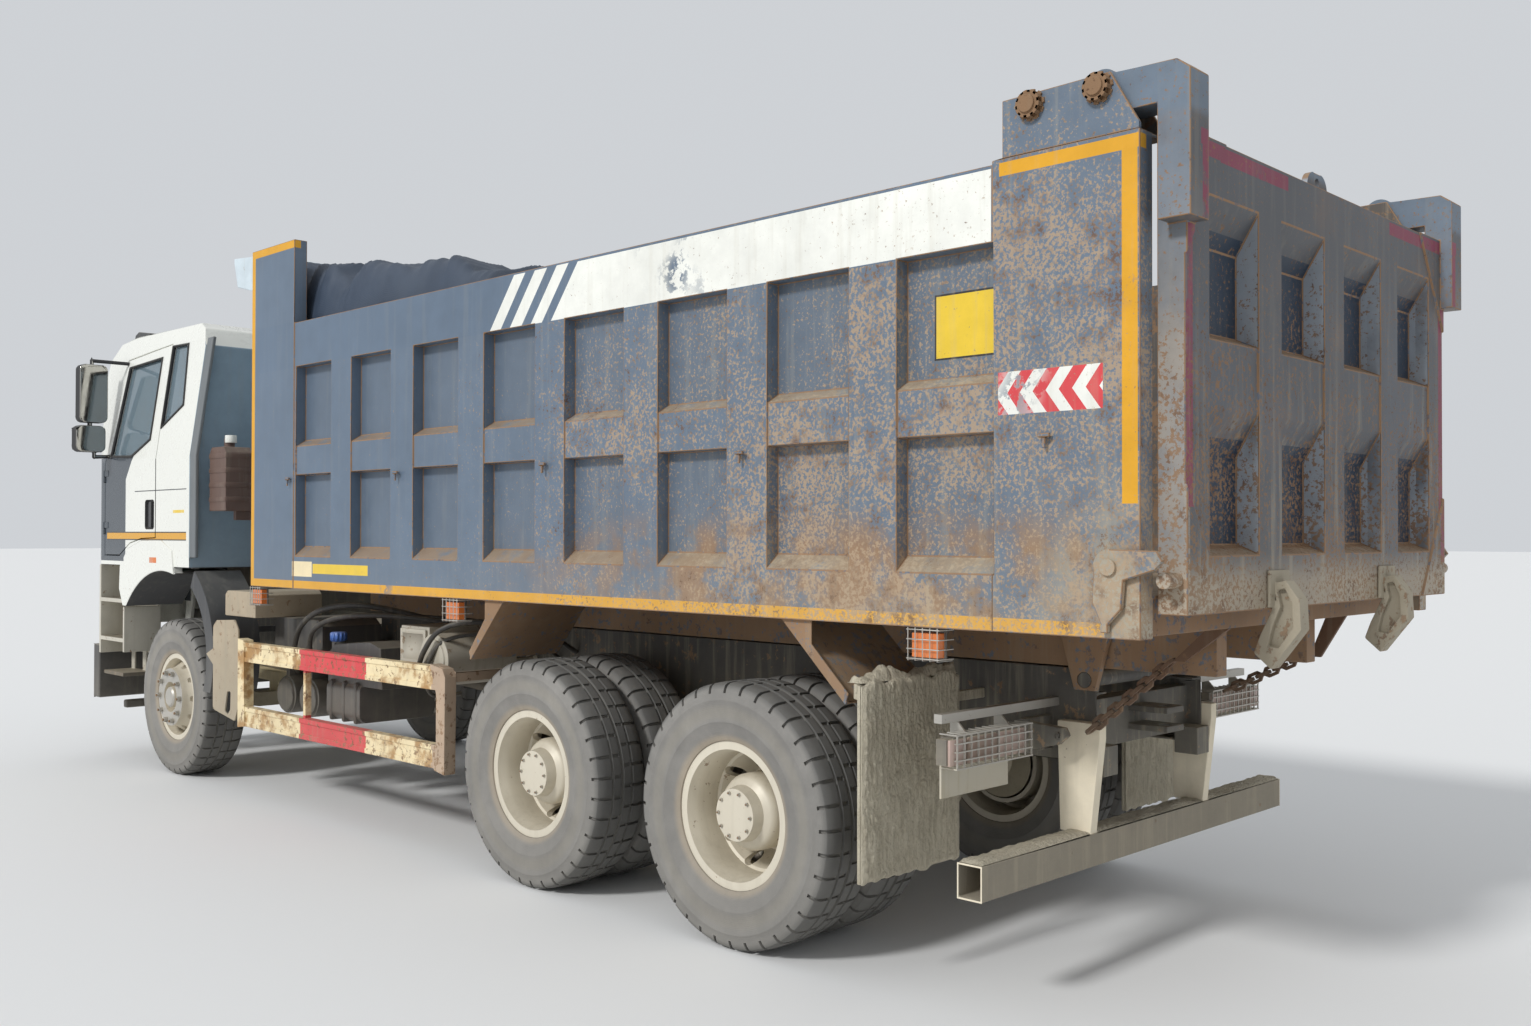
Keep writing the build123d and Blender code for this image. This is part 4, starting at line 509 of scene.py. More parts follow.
def applyModifier(piece, kind, **settings):
    modifier = piece.modifiers.new(kind, kind)
    for name, value in settings.items():
        setattr(modifier, name, value)
    selectOnly(piece)
    bpy.ops.object.modifier_apply(modifier=modifier.name)


def giveFinishes(piece, finishes, areas=None):
    piece.data.materials.clear()
    for finish in finishes.split():
        piece.data.materials.append(materials[finish])
    for face in piece.data.polygons:
        face.material_index = 0
        for index, rule in (areas or {}).items():
            if rule(face.center, face.normal):
                face.material_index = index


def bevelEdges(piece, width, segments=2, angle=35, material=-1, shortest=0):
    # rounds the sharp edges that are long enough
    startEdit(piece, "EDGE", "DESELECT")
    bpy.ops.mesh.edges_select_sharp(sharpness=radians(angle))
    if shortest:
        endEdit()
        points = piece.data.vertices
        for edge in piece.data.edges:
            if edge.select and (points[edge.vertices[0]].co - points[edge.vertices[1]].co).length < shortest:
                edge.select = False
        bpy.ops.object.mode_set(mode="EDIT")
    bpy.ops.mesh.bevel(offset=width, offset_type="OFFSET", segments=segments, material=material,
                       clamp_overlap=False, miter_outer="SHARP")
    endEdit()


def smooth(piece, angle=32):
    selectOnly(piece)
    bpy.ops.object.shade_smooth_by_angle(angle=radians(angle))


def settle(piece):
    selectOnly(piece)
    bpy.ops.object.transform_apply(location=True, rotation=True, scale=True)


def mount(piece, body, slotName, name):
    piece.name = name
    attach(piece, body)
    return piece


def link(name, data):
    piece = bpy.data.objects.new(name, data)
    bpy.context.collection.objects.link(piece)
    return piece


def dress(node, finishes, width=0.004, segments=2, angle=35, areas=None, edge=-1, drop=None, shortest=0):
    # the CAD's piece with rounded edges and its finishes
    piece = link(node + ".skin", nodes[node].data.copy())
    selectOnly(piece)
    bpy.ops.mesh.customdata_custom_splitnormals_clear()
    startEdit(piece)
    bpy.ops.mesh.remove_doubles(threshold=0.00012)
    bpy.ops.mesh.tris_convert_to_quads(face_threshold=radians(0.5), shape_threshold=radians(180))
    endEdit()
    if drop:
        openFaces(piece, drop)
        bpy.ops.mesh.delete(type="FACE")
        endEdit()
    giveFinishes(piece, finishes, areas)
    if width:
        bevelEdges(piece, width, segments, angle, edge, shortest)
    smooth(piece)
    if width:
        applyModifier(piece, "WEIGHTED_NORMAL", keep_sharp=True, weight=100)
    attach(piece, body_of(nodes[node])[0])
    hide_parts(node)
    return piece


def finishBlock(piece, finish, bevel):
    settle(piece)
    giveFinishes(piece, finish)
    bevelEdges(piece, bevel)
    smooth(piece)


def addCube(low, high):
    bpy.ops.mesh.primitive_cube_add(size=1, location=[(a + b) / 2 for a, b in zip(low, high)])
    piece = bpy.context.object
    piece.scale = [abs(b - a) for a, b in zip(low, high)]
    return piece


def addBlock(name, low, high, finish, body, slotName, bevel=0.004):
    piece = addCube(low, high)
    finishBlock(piece, finish, bevel)
    return mount(piece, body, slotName, name)


def addRing(name, centre, radius, depth, axis, finish, body=None, slotName=None, corners=24, bevel=0.003):
    turn = {"x": (0, pi / 2, 0), "y": (pi / 2, 0, 0), "z": (0, 0, 0)}[axis]
    bpy.ops.mesh.primitive_cylinder_add(vertices=corners, radius=radius, depth=depth, location=centre, rotation=turn)
    piece = bpy.context.object
    finishBlock(piece, finish, bevel)
    return mount(piece, body, slotName, name) if body else piece


def addGrid(columns, rows, place):
    # a grid whose points lie where place says for their two coordinates, both from -1 to 1
    bpy.ops.mesh.primitive_grid_add(x_subdivisions=columns, y_subdivisions=rows, size=2)
    sheet = bpy.context.object
    for vertex in sheet.data.vertices:
        vertex.co = place(vertex.co.x, vertex.co.y)
    sheet.data.update()
    return sheet


def repeat(piece, places, *mounting):
    # copies with their own mesh, joined into one piece; the mounting is its body, slot and name
    copies = []
    for place in places:
        copies.append(link(piece.name, piece.data.copy()))
        copies[-1].data.transform(place)
    bpy.data.objects.remove(piece)
    selectOnly(*copies)
    if len(copies) > 1:
        bpy.ops.object.join()
    joined = bpy.context.object
    joined.data.update()
    return mount(joined, *mounting)


def crenel(across, up, count):
    # tells every other one of so many equal sectors
    return int((atan2(across, up) + pi) / (2 * pi) * count) % 2 == 0


sides = (("left", 1), ("right", -1))
print("tools")


def dressAll():
    for side, _ in sides:
        dress("bed_side_" + side, "sideSlate slateWorn boxInside", 0.004, 2, 30, edge=1, shortest=0.045,
              areas={2: lambda c, n: abs(c.x) < 1.171 and abs(n.x) > 0.9 and c.y < 4.3})
        dress("door_" + side, "cabWhite blackPlastic cabInside", 0.003, areas={
            2: lambda c, n: n.x * c.x < -0.5 and abs(c.x) < 1.2,
            1: lambda c, n: -3.4 < c.y < -3.19 and 1.68 < c.z < 1.91 and abs(c.x) < 1.233})
        dress("door_glass_" + side, "cabGlass", 0.0015)
        dress("mirror_" + side, "mirrorShell mirrorGlass", 0.006, 3,
              areas={1: lambda c, n: n.y > 0.95 and abs(c.x) > 1.25})
        dress("knuckle_" + side, "knuckleIron")
        for axle in ("front", "mid", "rear"):
            dress(f"rim_{axle}_{side}", "rimCream ringSteel", 0, areas={
                1: lambda c, n: abs(c.x) > 1.17 and axle == "front" and abs(n.x) > 0.5})
    dress("tailgate", "gateSlate slateWorn boxInside", 0.004, 2, 30, edge=1, shortest=0.045,
          areas={2: lambda c, n: n.y < -0.9 and c.y < 4.32 and abs(c.x) < 1.16})
    dress("bed_floor", "slateWorn boxInside", areas={1: lambda c, n: n.z > 0.9})
    dress("headboard", "headWhite boxInside", 0.006, 2, 30, areas={1: lambda c, n: n.y > 0.9 and c.z < 3})
    dress("bed_lamps", "lensOrange lampBlack", 0.003, areas={1: lambda c, n: abs(c.x) < 1.2})
    dress("cab_shell", "cabWhite blackPlastic cabRear cabInside trimPlastic", 0.008, 3, 30, areas={
        # the rear wall facing +Y gets the blue-grey painted shade in place of white
        2: lambda c, n: n.y > 0.9 and c.y > -2.66,
        3: lambda c, n: n.x * c.x < -0.3 and abs(c.x) < 1.2 and c.z > 1.45 and -4.4 < c.y < -2.66,
        4: lambda c, n: -2.64 < c.y < -2.54 and abs(c.x) > 0.9,
        1: lambda c, n: (c.z > 3.106 or (c.z < 1.44 and abs(n.x) < 0.6 and n.z < 0.2 and -4.1 < c.y < -2.66)
                         or (-4.488 < c.y < -4.33 and abs(c.x) < 0.785 and 1.125 < c.z < 1.985))})
    dress("tanks", "tankBlack tankBrown", 0.005, areas={1: lambda c, n: c.y < -2.2 and c.z > 1.7})
    dress("service_boxes", "boxDark boxGrey plateTan", 0.005, areas={
        1: lambda c, n: -0.45 < c.y < 0.3 and c.x > 0, 2: lambda c, n: c.y < -1.8 and c.z > 1.12})
    dress("mudguards", "arcGrey plateTan mudCake", areas={
        2: lambda c, n: c.y > 3, 1: lambda c, n: -2.345 < c.y < -1.95 and abs(c.x) > 1.186 and c.z < 1.13})
    dress("tail_lamps", "lampBlack plateWhite cageWire", 0, areas={
        1: lambda c, n: c.z < 0.865 and 0.77 < abs(c.x) < 1.2, 2: lambda c, n: c.y > 3.56 or c.z > 0.955})
    # posts and faces looking along x get the pale mud with painted sunlight; the rest of the bar gets the mud with
    # painted shade
    dress("underrun_bar", "underrunMud postMud", 0.006, areas={1: lambda c, n: c.z > 0.54 or abs(n.x) > 0.9})
    dress("steps", "stepCream treadBrown", areas={1: lambda c, n: n.z > 0.9 or c.z < 0.66})
    dress("bumper", "bumperGrey", 0.012, 3)
    for node, finish, width in (
            ("tailgate_locks", "lockMud", 0.006), ("mud_hoods", "slateWorn", 0.004), ("lock_chains", "chainRust", 0),
            ("cab_glass", "cabGlass", 0.0015), ("frame", "chassisBlack", 0.004), ("axles", "axleMud", 0.006),
            ("springs", "springMud", 0.004), ("powertrain", "engineGrey", 0.008), ("hoist_cover", "hoistPaint", 0.004),
            ("side_guards", "guardCream", 0.004)):
        dress(node, finish, width)
    for node in ("hoist_rod", "hoist_inner_tube", "hoist_outer_tube"):
        dress(node, "hoistBright", 0.003)


# each groove from how far off the axle, between which two x, and how deep
tyre = {"radius": 0.535, "lugs": 36, "stepsPerLug": 6, "turnEach": 0.4,
        "frontPlace": (1.016,), "rearPlaces": (1.097, 0.757),
        "profile": ((0.297, 0.112), (0.299, 0.124), (0.31, 0.131), (0.34, 0.141), (0.372, 0.147), (0.376, 0.1495),
                    (0.384, 0.1495), (0.388, 0.148), (0.425, 0.15), (0.455, 0.1495), (0.459, 0.1515),
                    (0.466, 0.1515), (0.47, 0.149), (0.492, 0.146), (0.508, 0.141), (0.522, 0.133), (0.531, 0.118),
                    (0.534, 0.09), (0.535, 0.064), (0.524, 0.061), (0.524, 0.052), (0.535, 0.049), (0.535, 0.01),
                    (0.525, 0.008)),
        "grooves": ((0.498, 0.062, 0.2, 0.013), (0.533, 0.012, 0.048, 0.0091))}
axleLines = {"front": -3.06, "mid": 1.14, "rear": 2.49}


def fromAxle(place):
    return (place.y ** 2 + place.z ** 2) ** 0.5


def makeTyreShape():
    line = [(across, 0, radius) for radius, across in tyre["profile"]]
    line += [(-across, 0, radius) for across, _, radius in reversed(line)]
    mesh = bpy.data.meshes.new("tyreLine")
    mesh.from_pydata(line, [(i, (i + 1) % len(line)) for i in range(len(line))], [])
    shape = link("tyreShape", mesh)
    count = tyre["lugs"] * tyre["stepsPerLug"]
    startEdit(shape)
    bpy.ops.mesh.spin(steps=count, angle=2 * pi, center=(0, 0, 0), axis=(1, 0, 0))
    bpy.ops.mesh.select_all(action="SELECT")
    bpy.ops.mesh.remove_doubles(threshold=0.0001)
    endEdit()
    evenNormals(shape)
    for least, near, far, depth in tyre["grooves"]:
        def isGroove(centre, normal):
            turn = (pi + 1e-4 + atan2(centre.y, centre.z)) / (2 * pi) * count
            step = int(turn) + (0 if centre.x > 0 else tyre["stepsPerLug"] // 2)
            return fromAxle(centre) > least and near < abs(centre.x) < far and step % tyre["stepsPerLug"] == 0

        pushFaces(shape, isGroove, -depth)
    smooth(shape, 28)
    for name, rule in (("ring", fromAxle), ("groove", lambda c: 0.4 < fromAxle(c) < 0.528 and abs(c.x) < 0.112)):
        values = [float(rule(vertex.co)) for vertex in shape.data.vertices]
        shape.data.attributes.new(name, "FLOAT", "POINT").data.foreach_set("value", values)
    giveFinishes(shape, "tyreRubber")
    return shape


def makeTyres():
    shape = makeTyreShape()
    for axle, y in axleLines.items():
        for side, sign in sides:
            centres = tyre["frontPlace" if axle == "front" else "rearPlaces"]
            places = [Matrix.Translation((sign * x, y, tyre["radius"]))
                      @ Matrix.Rotation(tyre["turnEach"] * number + y, 4, "X") for number, x in enumerate(centres)]
            piece = repeat(link("tyre", shape.data.copy()), places, f"wheel_{axle}_{side}", "tyre_rubber",
                           f"tyre.{axle}.{side}")
            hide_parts(f"tyre_{axle}_{side}")
    bpy.data.objects.remove(shape)


# how many, the circle's radius, the face they stand on, and each nut's radius and height
wheelNuts = {"front": (10, 0.1675, 1.178, 0.0175, 0.026), "mid": (10, 0.09, 1.2, 0.0075, 0.01),
             "rear": (10, 0.09, 1.2, 0.0075, 0.01)}


def makeNuts():
    for axle, y in axleLines.items():
        count, circle, face, size, height = wheelNuts[axle]
        for side, sign in sides:
            nut = addRing("nut", (sign * (face + height / 2 - 0.002), 0, 0), size, height, "x", "nutSteel", corners=6,
                          bevel=size * 0.12)
            tip = addRing("stud", (sign * (face + height), 0, 0), size * 0.5, height * 0.5, "x", "nutRust",
                          corners=12, bevel=size * 0.08)
            selectOnly(nut, tip)
            bpy.ops.object.join()
            hub = Matrix.Translation((0, y, tyre["radius"]))
            places = [hub @ Matrix.Rotation(2 * pi * (i + 0.5) / count, 4, "X") @ Matrix.Translation((0, 0, circle))
                      for i in range(count)]
            repeat(nut, places, f"wheel_{axle}_{side}", "rim_paint", f"nuts.{axle}.{side}")


def addCurve(name, lines, radius, roundness, finish, closed=False):
    # round bars or hoses along lines of points
    curve = bpy.data.curves.new(name, "CURVE")
    curve.dimensions, curve.bevel_depth, curve.bevel_resolution = "3D", radius, roundness
    curve.use_fill_caps = True
    for line in lines:
        spline = curve.splines.new("POLY")
        spline.points.add(len(line) - 1)
        for point, place in zip(spline.points, line):
            point.co = (*place, 1)
        spline.use_cyclic_u = closed
    curve.materials.append(materials[finish])
    return link(name, curve)


def addWires(name, lines, radius, finish, body="cab", slotName="cab_paint", closed=False):
    selectOnly(addCurve(name, lines, radius, 2, finish, closed))
    bpy.ops.object.convert(target="MESH")
    wires = bpy.context.object
    smooth(wires, 50)
    return mount(wires, body, slotName, name)


def curvedLine(points, steps=8):
    # an even curve through the points
    ends = [Vector(point) for point in (points[0], *points, points[-1])]
    line = []
    for a, b, c, d in zip(ends, ends[1:], ends[2:], ends[3:]):
        for t in [step / steps for step in range(steps)]:
            line.append(0.5 * (2 * b + (c - a) * t + (2 * a - 5 * b + 4 * c - d) * t ** 2
                               + (3 * b - a - 3 * c + d) * t ** 3))
    return line + [ends[-1]]


tarp = {"halfWidth": 1.165, "front": -1.635, "rear": 0.672, "low": 2.875, "crest": 3.325, "fall": 0.27, "fold": 0.095,
        "crease": 0.016, "lean": 0.045, "thick": 0.003, "slack": 2.12}


def makeTarp():
    width, along = tarp["halfWidth"], tarp["rear"] - tarp["front"]

    def place(u, y):
        v = (y + 1) / 2
        wander = noise.noise((u * 1.3, v * 2, 3.1))
        ridge = 1 - 3.2 * abs(noise.noise((u * 1.2 + wander, v * 7 + 2.2 * wander + 0.8 * abs(u), 0.4)))
        small = 1 - 3 * abs(noise.noise((u * 1.8 + v * 2, v * 24 + 4 * wander, 7.7)))
        height = (tarp["crest"] - tarp["fall"] * v ** 0.9 + tarp["fold"] * (ridge - 0.55) * (1 - 0.3 * v)
                  + tarp["crease"] * small)
        side = min(1, (1 - abs(u)) / (0.13 + 0.05 * noise.noise((u, v * 6, 2))))
        end = min(1, v / 0.05, (1 - v) / (0.1 + 0.05 * noise.noise((u * 4, v, 5))))
        hold = (1 - (1 - max(side, 0)) ** 2.2) * (1 - (1 - max(end, 0)) ** 2)
        return (width * u * (0.985 + 0.015 * hold),
                tarp["front"] + 0.02 + (along - 0.04) * v - tarp["lean"] * ridge * hold,
                tarp["low"] + (height - tarp["low"]) * hold)

    sheet = addGrid(150, 170, place)
    giveFinishes(sheet, "tarpCloth")
    applyModifier(sheet, "SOLIDIFY", thickness=tarp["thick"], offset=-1)
    smooth(sheet, 180)
    mount(sheet, "bed", "tarp_fabric", "tarp.cloth")
    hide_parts("tarp")


seat = {"apart": 1.52, "seamReach": 0.016, "seamDepth": 0.008, "swell": 0.016, "grain": 0.011,
        "base": ((0.57, -3.48, 1.492), (0.95, -3.02, 1.65))}
seatTwin = Matrix.Translation((-seat["apart"], 0, 0))
# each pad's corners, its rounding and its seams by axis
seatPads = {
    "seatCushion": ((0.547, -3.543, 1.666), (0.973, -2.99, 1.84), 0.035, {0: (0.63, 0.89), 1: (-3.3,)}),
    "seatBack": ((0.555, -3.055, 1.86), (0.965, -2.89, 2.46), 0.035, {0: (0.63, 0.89), 2: (2.1, 2.3)}),
    "headrest": ((0.62, -3.02, 2.485), (0.9, -2.9, 2.705), 0.03, {})}


def seatPad(name, low, high, rounding, seams):
    pad = addCube(low, high)
    settle(pad)
    bevelEdges(pad, rounding, 4, 30)
    selectOnly(pad)
    pad.data.remesh_voxel_size = seat["grain"]
    bpy.ops.object.voxel_remesh()
    before = [vertex.co.copy() for vertex in pad.data.vertices]
    cloth = pad.modifiers.new("Cloth", "CLOTH")
    cloth.settings.use_pressure = True
    cloth.settings.uniform_pressure_force = 4
    cloth.settings.effector_weights.gravity = 0
    for number in range(1, 15):
        bpy.context.scene.frame_set(number)
    selectOnly(pad)
    bpy.ops.object.modifier_apply(modifier=cloth.name)
    bpy.context.scene.frame_set(1)
    for vertex, place in zip(pad.data.vertices, before):
        move = vertex.co - place
        if move.length > seat["swell"]:
            vertex.co = place + move * (seat["swell"] / move.length)
    smooth(pad, 180)
    centre = (Vector(low) + Vector(high)) / 2
    for vertex in pad.data.vertices:  # sewn channels run across the pad
        for axis, places in seams.items():
            for place in places:
                near = 1 - abs(vertex.co[axis] - place) / seat["seamReach"]
                if near > 0:
                    vertex.co += (centre - vertex.co).normalized() * seat["seamDepth"] * near
    giveFinishes(pad, "seatCloth")
    twin = link(name, pad.data.copy())
    twin.data.transform(seatTwin)
    for side, piece in (("left", pad), ("right", twin)):
        mount(piece, "cab", "seat_fabric", name + "." + side)


def makeSeats():
    dress("cab_interior", "cabInside", 0.012, 3, drop=lambda c, n: c.y > -3.58).name = "dash.skin"
    base = addBlock("seatBase", *seat["base"], "blackPlastic", "cab", "seat_fabric", 0.012)
    repeat(base, [Matrix.Identity(4), seatTwin], "cab", "seat_fabric", "seatBases")
    for name, pad in seatPads.items():
        seatPad(name, *pad)


# each hose's points and its diameter
hoses = {
    "airFront": (((0.44, -0.52, 1.02), (0.62, -0.6, 1.14), (0.92, -0.86, 1.235), (1.03, -1.16, 1.215),
        (1.05, -1.42, 1.11), (1.03, -1.56, 0.96), (0.96, -1.68, 0.83), (0.9, -1.742, 0.772)), 0.034),
    "airRear": (((0.44, -0.2, 1.02), (0.6, -0.34, 1.13), (0.9, -0.66, 1.185), (1.04, -1, 1.165),
        (1.06, -1.26, 1.08), (1.02, -1.38, 0.95), (0.94, -1.44, 0.83), (0.9, -1.45, 0.772)), 0.03),
    "boxRear": (((0.44, 0.5, 1.02), (0.66, 0.46, 1.14), (0.96, 0.34, 1.2), (1.1, 0.2, 1.16), (1.125, 0.07, 1.04),
        (1.1, -0.02, 0.92), (1.03, -0.05, 0.84), (0.94, -0.1, 0.8), (0.8, -0.16, 0.8)), 0.028),
    "boxLoop": (((0.44, 0.34, 0.98), (0.62, 0.33, 1.08), (0.88, 0.29, 1.13), (1.06, 0.18, 1.1), (1.105, 0.1, 1),
        (1.1, 0.05, 0.88), (1.02, 0, 0.79), (0.86, 0.02, 0.79)), 0.022)}


def makeHoses():
    for name, (points, diameter) in hoses.items():
        line = curvedLine(points)
        hose = addCurve("hose." + name, [line], diameter / 2, 4, "hoseRubber")
        mount(hose, "chassis", "tank_plastic", "hose." + name)


castleNut = {"radius": 0.046, "depth": 0.03, "x": 1.262, "z": 3.07, "rows": (3.915, 4.163), "corners": 20}


def makeCastleNuts():
    radius, depth, x, z, rows, corners = castleNut.values()
    bpy.ops.mesh.primitive_cylinder_add(vertices=corners, radius=radius, depth=depth, location=(x, 0, 0),
                                        rotation=(0, pi / 2, 0))
    nut = bpy.context.object
    settle(nut)
    pushFaces(nut, lambda c, n: abs(n.x) < 0.3 and crenel(c.y, c.z, corners), -0.01)
    pushFaces(nut, lambda c, n: n.x > 0.9, 0.008, inset=0.016)
    giveFinishes(nut, "nutRust")
    bevelEdges(nut, 0.0015, 1, 40)
    smooth(nut)
    places = [Matrix.Diagonal((sign, 1, 1, 1)) @ Matrix.Translation((0, y, z)) for _, sign in sides for y in rows]
    evenNormals(repeat(nut, places, "bed", "bed_steel", "castleNuts"))


lampCage = {"places": (-1.646, 0.5, 3.468), "back": 1.16, "face": 1.246, "low": 1.222, "high": 1.337, "half": 0.07,
            "pitch": 0.032, "rise": 0.034}


def makeLampCages():
    places, back, face, low, high, half, pitch, rise = lampCage.values()
    lines = []
    for _, sign in sides:
        for middle in places:
            outline = [(sign * back, middle - half), (sign * face, middle - half), (sign * face, middle + half),
                       (sign * back, middle + half)]
            for y in [middle + pitch * (number - 2) for number in range(5)]:
                lines.append([(sign * back, y, low), (sign * face, y, low), (sign * face, y, high)])
            for z in [low + 0.006 + rise * number for number in range(4)]:
                lines.append([(x, y, z) for x, y in outline])
    addWires("bedLampCages", lines, 0.0022, "cageWire", "bed", "lamp_plastic")


flapMud = {"area": (0.65, 1.244, 0.392, 1.108), "face": 3.186, "thick": 0.016, "ragged": 0.016, "pile": 0.03}


def makeFlapMud():
    left, right, bottom, top = flapMud["area"]

    def place(x, y):
        u, v = (x + 1) / 2, (y + 1) / 2
        x, z = left + (right - left) * u, bottom + (top - bottom) * v
        drip = noise.noise((x * 30, z * 3.2, 1)) * 0.15 + noise.noise((x * 75, z * 30, 4)) * 0.3
        lump = noise.noise((x * 9, z * 8, 9)) * 0.45 + noise.noise((x * 100, z * 80, 2)) * 0.34
        rim = min(1, u / 0.03, (1 - u) / 0.03, v / 0.02, (1 - v) / 0.01)
        out = flapMud["thick"] * max(0.12, 0.55 + drip + lump) * max(rim, 0.05)
        ragged = flapMud["ragged"] * noise.noise((x * 18, 0.3, 0)) if v < 0.03 else 0
        pile = flapMud["pile"] * max(0, noise.noise((x * 14, 0.7, 5)) + 0.35) if v > 0.975 else 0
        return (x, flapMud["face"] + out, z + ragged + pile)

    cake = addGrid(110, 140, place)
    giveFinishes(cake, "mudCake")
    applyModifier(cake, "SOLIDIFY", thickness=0.006, offset=-1)
    evenNormals(cake)
    smooth(cake, 60)
    places = [Matrix.Identity(4), Matrix.Translation((-(left + right), 0, 0))]
    repeat(cake, places, "chassis", "guard_plastic", "flapMud")


def addMudLayer(name, left, right, front, rear, level, thick, slotName, seed):
    # dried mud lying on a flat top, thickest in the middle, with a ragged rim
    width, depth = right - left, rear - front

    def place(u, v):
        x, y = (left + right) / 2 + width / 2 * u, (front + rear) / 2 + depth / 2 * v
        rim = min(1, (1 - abs(u)) * width / 0.03, (1 - abs(v)) * depth / 0.03)
        lump = 0.55 + 0.7 * noise.noise((x * 7, y * 7, seed)) + 0.35 * noise.noise((x * 38, y * 38, seed))
        return (x, y, level + 0.0008 + thick * max(0.04, lump) * max(0, rim) ** 0.6)

    layer = addGrid(max(6, int(width / 0.012)), max(6, int(depth / 0.01)), place)
    giveFinishes(layer, "mudCake")
    applyModifier(layer, "SOLIDIFY", thickness=0.002, offset=1)
    smooth(layer, 60)
    mount(layer, "chassis", slotName, name)


def makeMudPiles():
    addMudLayer("mudOnUnderrun", -1.185, 1.185, 3.58, 3.674, 0.53, 0.016, "underrun_paint", 1)
    for side, sign in sides:
        addMudLayer("mudOnFlap." + side, *sorted((sign * 0.655, sign * 1.24)), 3.12, 3.187, 1.118, 0.05,
                    "guard_plastic", 3 + sign)


tailLenses = ((1.12, 1.218, "lensPink"), (0.93, 1.112, "lensRed"), (0.742, 0.922, "lensPink"))


def makeTailLamps():
    for side, sign in sides:
        for number, (near, far, finish) in enumerate(tailLenses):
            addBlock(f"tailLens.{side}.{number}", (sign * near, 3.53, 0.858), (sign * far, 3.566, 0.952),
                     finish, "chassis", "lamp_plastic", 0.006)


tankTrim = {"ribBottom": 1.865, "ribPitch": 0.095, "ribHeight": 0.04, "ridges": (-1.045, -0.9, -0.765),
            "cap": (1.005, -1.06, 1.05)}


def makeTankTrim():
    for number in range(4):
        z = tankTrim["ribBottom"] + tankTrim["ribPitch"] * number
        addBlock(f"expansionRib.{number}", (0.974, -2.506, z), (1.166, -2.249, z + tankTrim["ribHeight"]),
                 "tankBrown", "chassis", "tank_plastic", 0.012)
    addRing("expansionCap", (1.07, -2.38, 2.285), 0.038, 0.05, "z", "lensClear", "chassis", "tank_plastic")
    for number, y in enumerate(tankTrim["ridges"]):
        addBlock(f"canisterRidge.{number}", (0.6, y - 0.016, 0.562), (1.067, y + 0.016, 0.803), "tankBlack",
                 "chassis", "tank_plastic", 0.014)
    x, y, z = tankTrim["cap"]
    cap = addRing("tankCap", (x, y, z), 0.046, 0.055, "z", "capBlue", "chassis", "tank_plastic", bevel=0.006)
    pushFaces(cap, lambda c, n: abs(n.z) < 0.3 and crenel(c.x - x, c.y - y, 24), 0.003)
    panel = addBlock("batteryPanel", (1.006, -0.35, 0.945), (1.016, -0.095, 1.137), "boxGrey", "chassis",
                     "box_paint", 0.002)
    pushFaces(panel, lambda c, n: n.x > 0.95, -0.006, inset=0.022)


cabSide = {"x": 1.2355, "bend": 2.18, "lean": 0.11 / 0.79, "sink": 0.003}
cabTrim = {"doorWindow": ((-4.015, 2.225), (-3.903, 2.877), (-3.33, 2.902), (-3.337, 2.322), (-3.635, 2.21)),
           "quarterWindow": ((-3.172, 2.395), (-3.165, 2.968), (-2.914, 2.962), (-2.853, 2.536))}


def makeCabTrim():
    for side, sign in sides:
        for name, body in (("doorWindow", "door_" + side), ("quarterWindow", "cab")):
            loop = [(sign * (cabSide["x"] - max(0, z - cabSide["bend"]) * cabSide["lean"] - cabSide["sink"]), y, z)
                    for y, z in cabTrim[name]]
            addWires(name + "Rubber." + side, [loop], 0.012, "blackRubber", body, closed=True)
        addBlock("flareLamp." + side, (sign * 1.232, -3.27, 1.452), (sign * 1.2475, -3.14, 1.5), "lensOrange",
                 "cab", "cab_paint", 0.006)


screenLoop = ((-1, -4.434, 2.2), (-0.58, -4.477, 2.2), (0.58, -4.477, 2.2), (1, -4.434, 2.2),
              (0.984, -4.434, 2.395), (0.94, -4.318, 2.93), (-0.94, -4.318, 2.93), (-0.984, -4.434, 2.395))
headLamps = {"height": 0.699, "places": ((0.79, 0.062), (0.95, 0.068)), "rimWidth": 0.008}


def makeCabFront():
    addWires("screenRubber", [screenLoop], 0.012, "blackRubber", closed=True)
    arms, blades = [], []
    for start in (-0.72, -0.02):
        arms.append([(start + 0.62, -4.488, 2.15), (start + 0.6, -4.486, 2.185), (start + 0.33, -4.472, 2.262)])
        blades.append([(start, -4.466, 2.235), (start + 0.33, -4.463, 2.262), (start + 0.64, -4.461, 2.285)])
    addWires("wiperArms", arms, 0.006, "blackPlastic")
    addWires("wiperBlades", blades, 0.008, "blackRubber")
    z, rim = headLamps["height"], headLamps["rimWidth"]
    for side, sign in sides:
        for x, radius in headLamps["places"]:
            place = f".{side}.{int(x * 1000)}"
            addRing("lampRim" + place, (sign * x, -4.494, z), radius, 0.008, "y", "lampBlack", "chassis",
                    "bumper_plastic")
            addRing("headLens" + place, (sign * x, -4.497, z), radius - rim, 0.01, "y", "lensClear", "chassis",
                    "bumper_plastic", 32, 0.004)


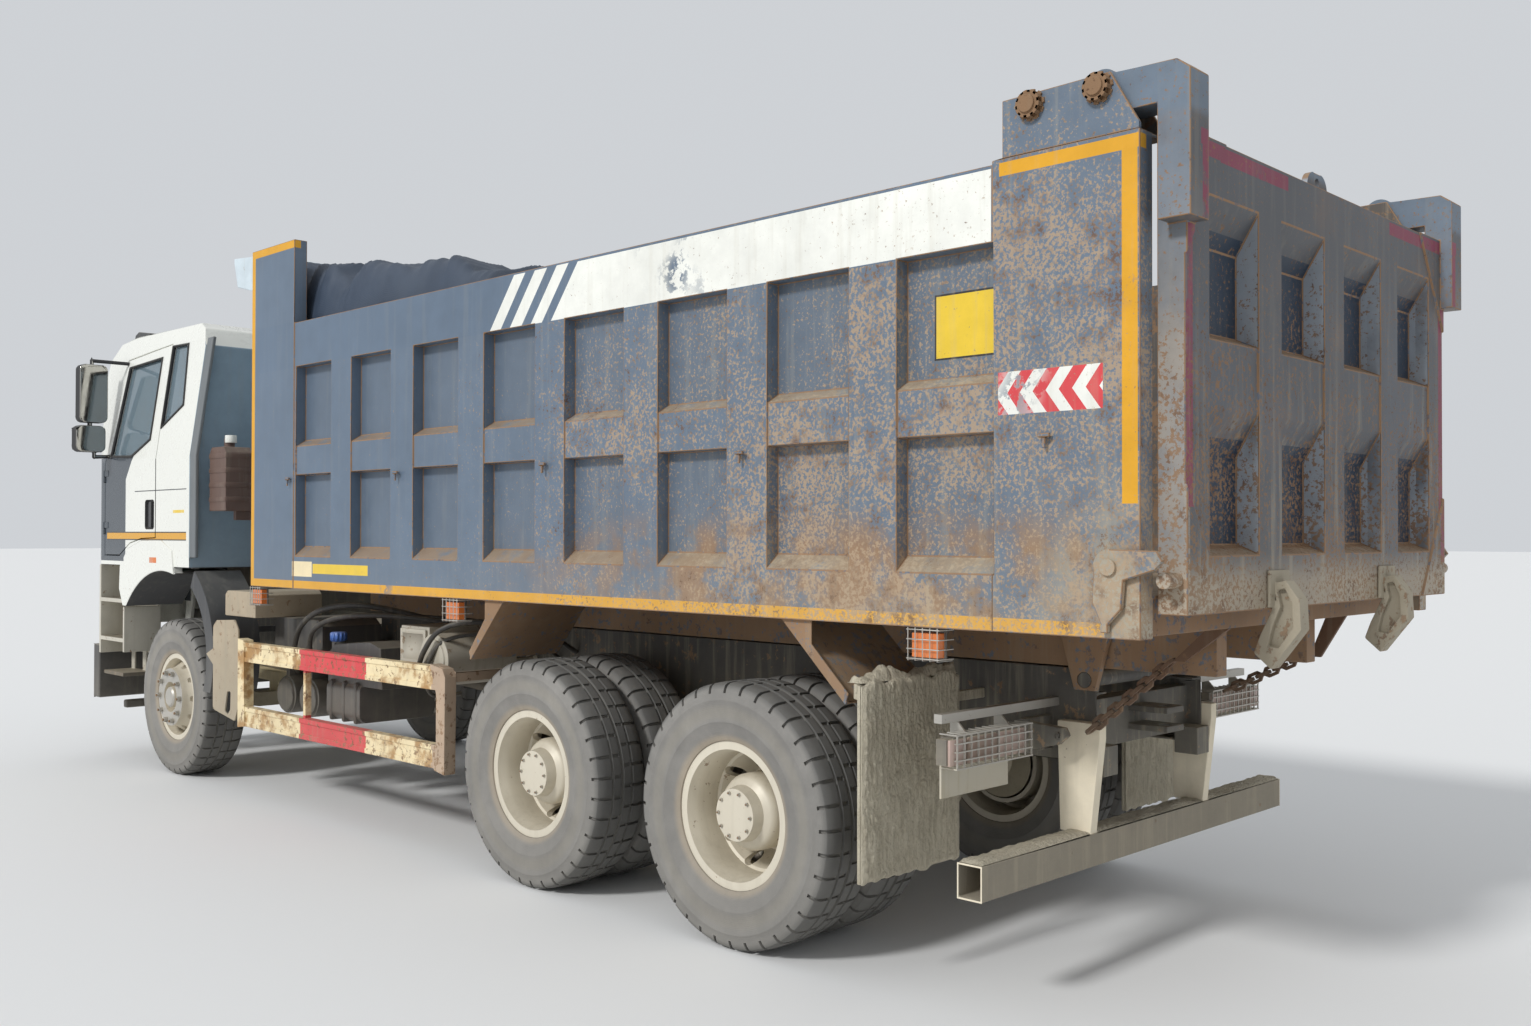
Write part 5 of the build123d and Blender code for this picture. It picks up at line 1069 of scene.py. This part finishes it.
# the photographer stood behind the truck's left rear corner, eyes at 1.66 m
camera = {"place": (5.058, 6.387, 1.663), "yaw": 45.349, "pitch": 0.648, "roll": 0.109, "lens": 32.027,
          "shift": (0.00998, 0.00384)}


def makeCamera():
    bpy.ops.object.camera_add(location=camera["place"])
    eye = bpy.context.object
    turn = (Matrix.Rotation(radians(180 - camera["yaw"]), 4, "Z")
            @ Matrix.Rotation(radians(90 + camera["pitch"]), 4, "X")
            @ Matrix.Rotation(radians(camera["roll"]), 4, "Z"))
    eye.rotation_euler = turn.to_euler()
    eye.data.lens = camera["lens"]
    eye.data.sensor_width = 36
    eye.data.shift_x, eye.data.shift_y = camera["shift"]
    eye.data.clip_end = 500
    bpy.context.scene.camera = eye


studio = {"floorSize": 300, "floorColor": (0.78, 0.78, 0.77, 1), "floorRoughness": 0.9,
          "skyColor": (0.86, 0.89, 0.93, 1), "skyStrength": 0.72, "sunPower": 1.95, "sunAngle": 9,
          "sunTurn": (54, 0, 88)}


def makeStudio():
    bpy.ops.mesh.primitive_plane_add(size=studio["floorSize"], location=(0, 0, 0))
    floor = bpy.context.object
    floor.name = "floor"
    cover = bpy.data.materials.new("floorPaint")
    cover.use_nodes = True
    shader = cover.node_tree.nodes["Principled BSDF"].inputs
    shader["Base Color"].default_value = studio["floorColor"]
    shader["Roughness"].default_value = studio["floorRoughness"]
    floor.data.materials.append(cover)
    bpy.ops.object.light_add(type="SUN", location=(6, -4, 9), rotation=[radians(a) for a in studio["sunTurn"]])
    sun = bpy.context.object.data
    sun.energy, sun.angle = studio["sunPower"], radians(studio["sunAngle"])
    world = bpy.data.worlds.new("studioSky")
    bpy.context.scene.world = world
    world.use_nodes = True
    sky = world.node_tree.nodes["Background"].inputs
    sky["Color"].default_value = studio["skyColor"]
    sky["Strength"].default_value = studio["skyStrength"]
    bpy.context.scene.view_settings.view_transform = "Standard"


for make in (dressAll, makeTyres, makeNuts, makeTarp, makeSeats, makeCabFront, makeHoses, makeCastleNuts,
             makeLampCages, makeFlapMud, makeMudPiles, makeTailLamps, makeTankTrim, makeCabTrim, makeCamera,
             makeStudio):
    make()
    print(make.__name__, "done")
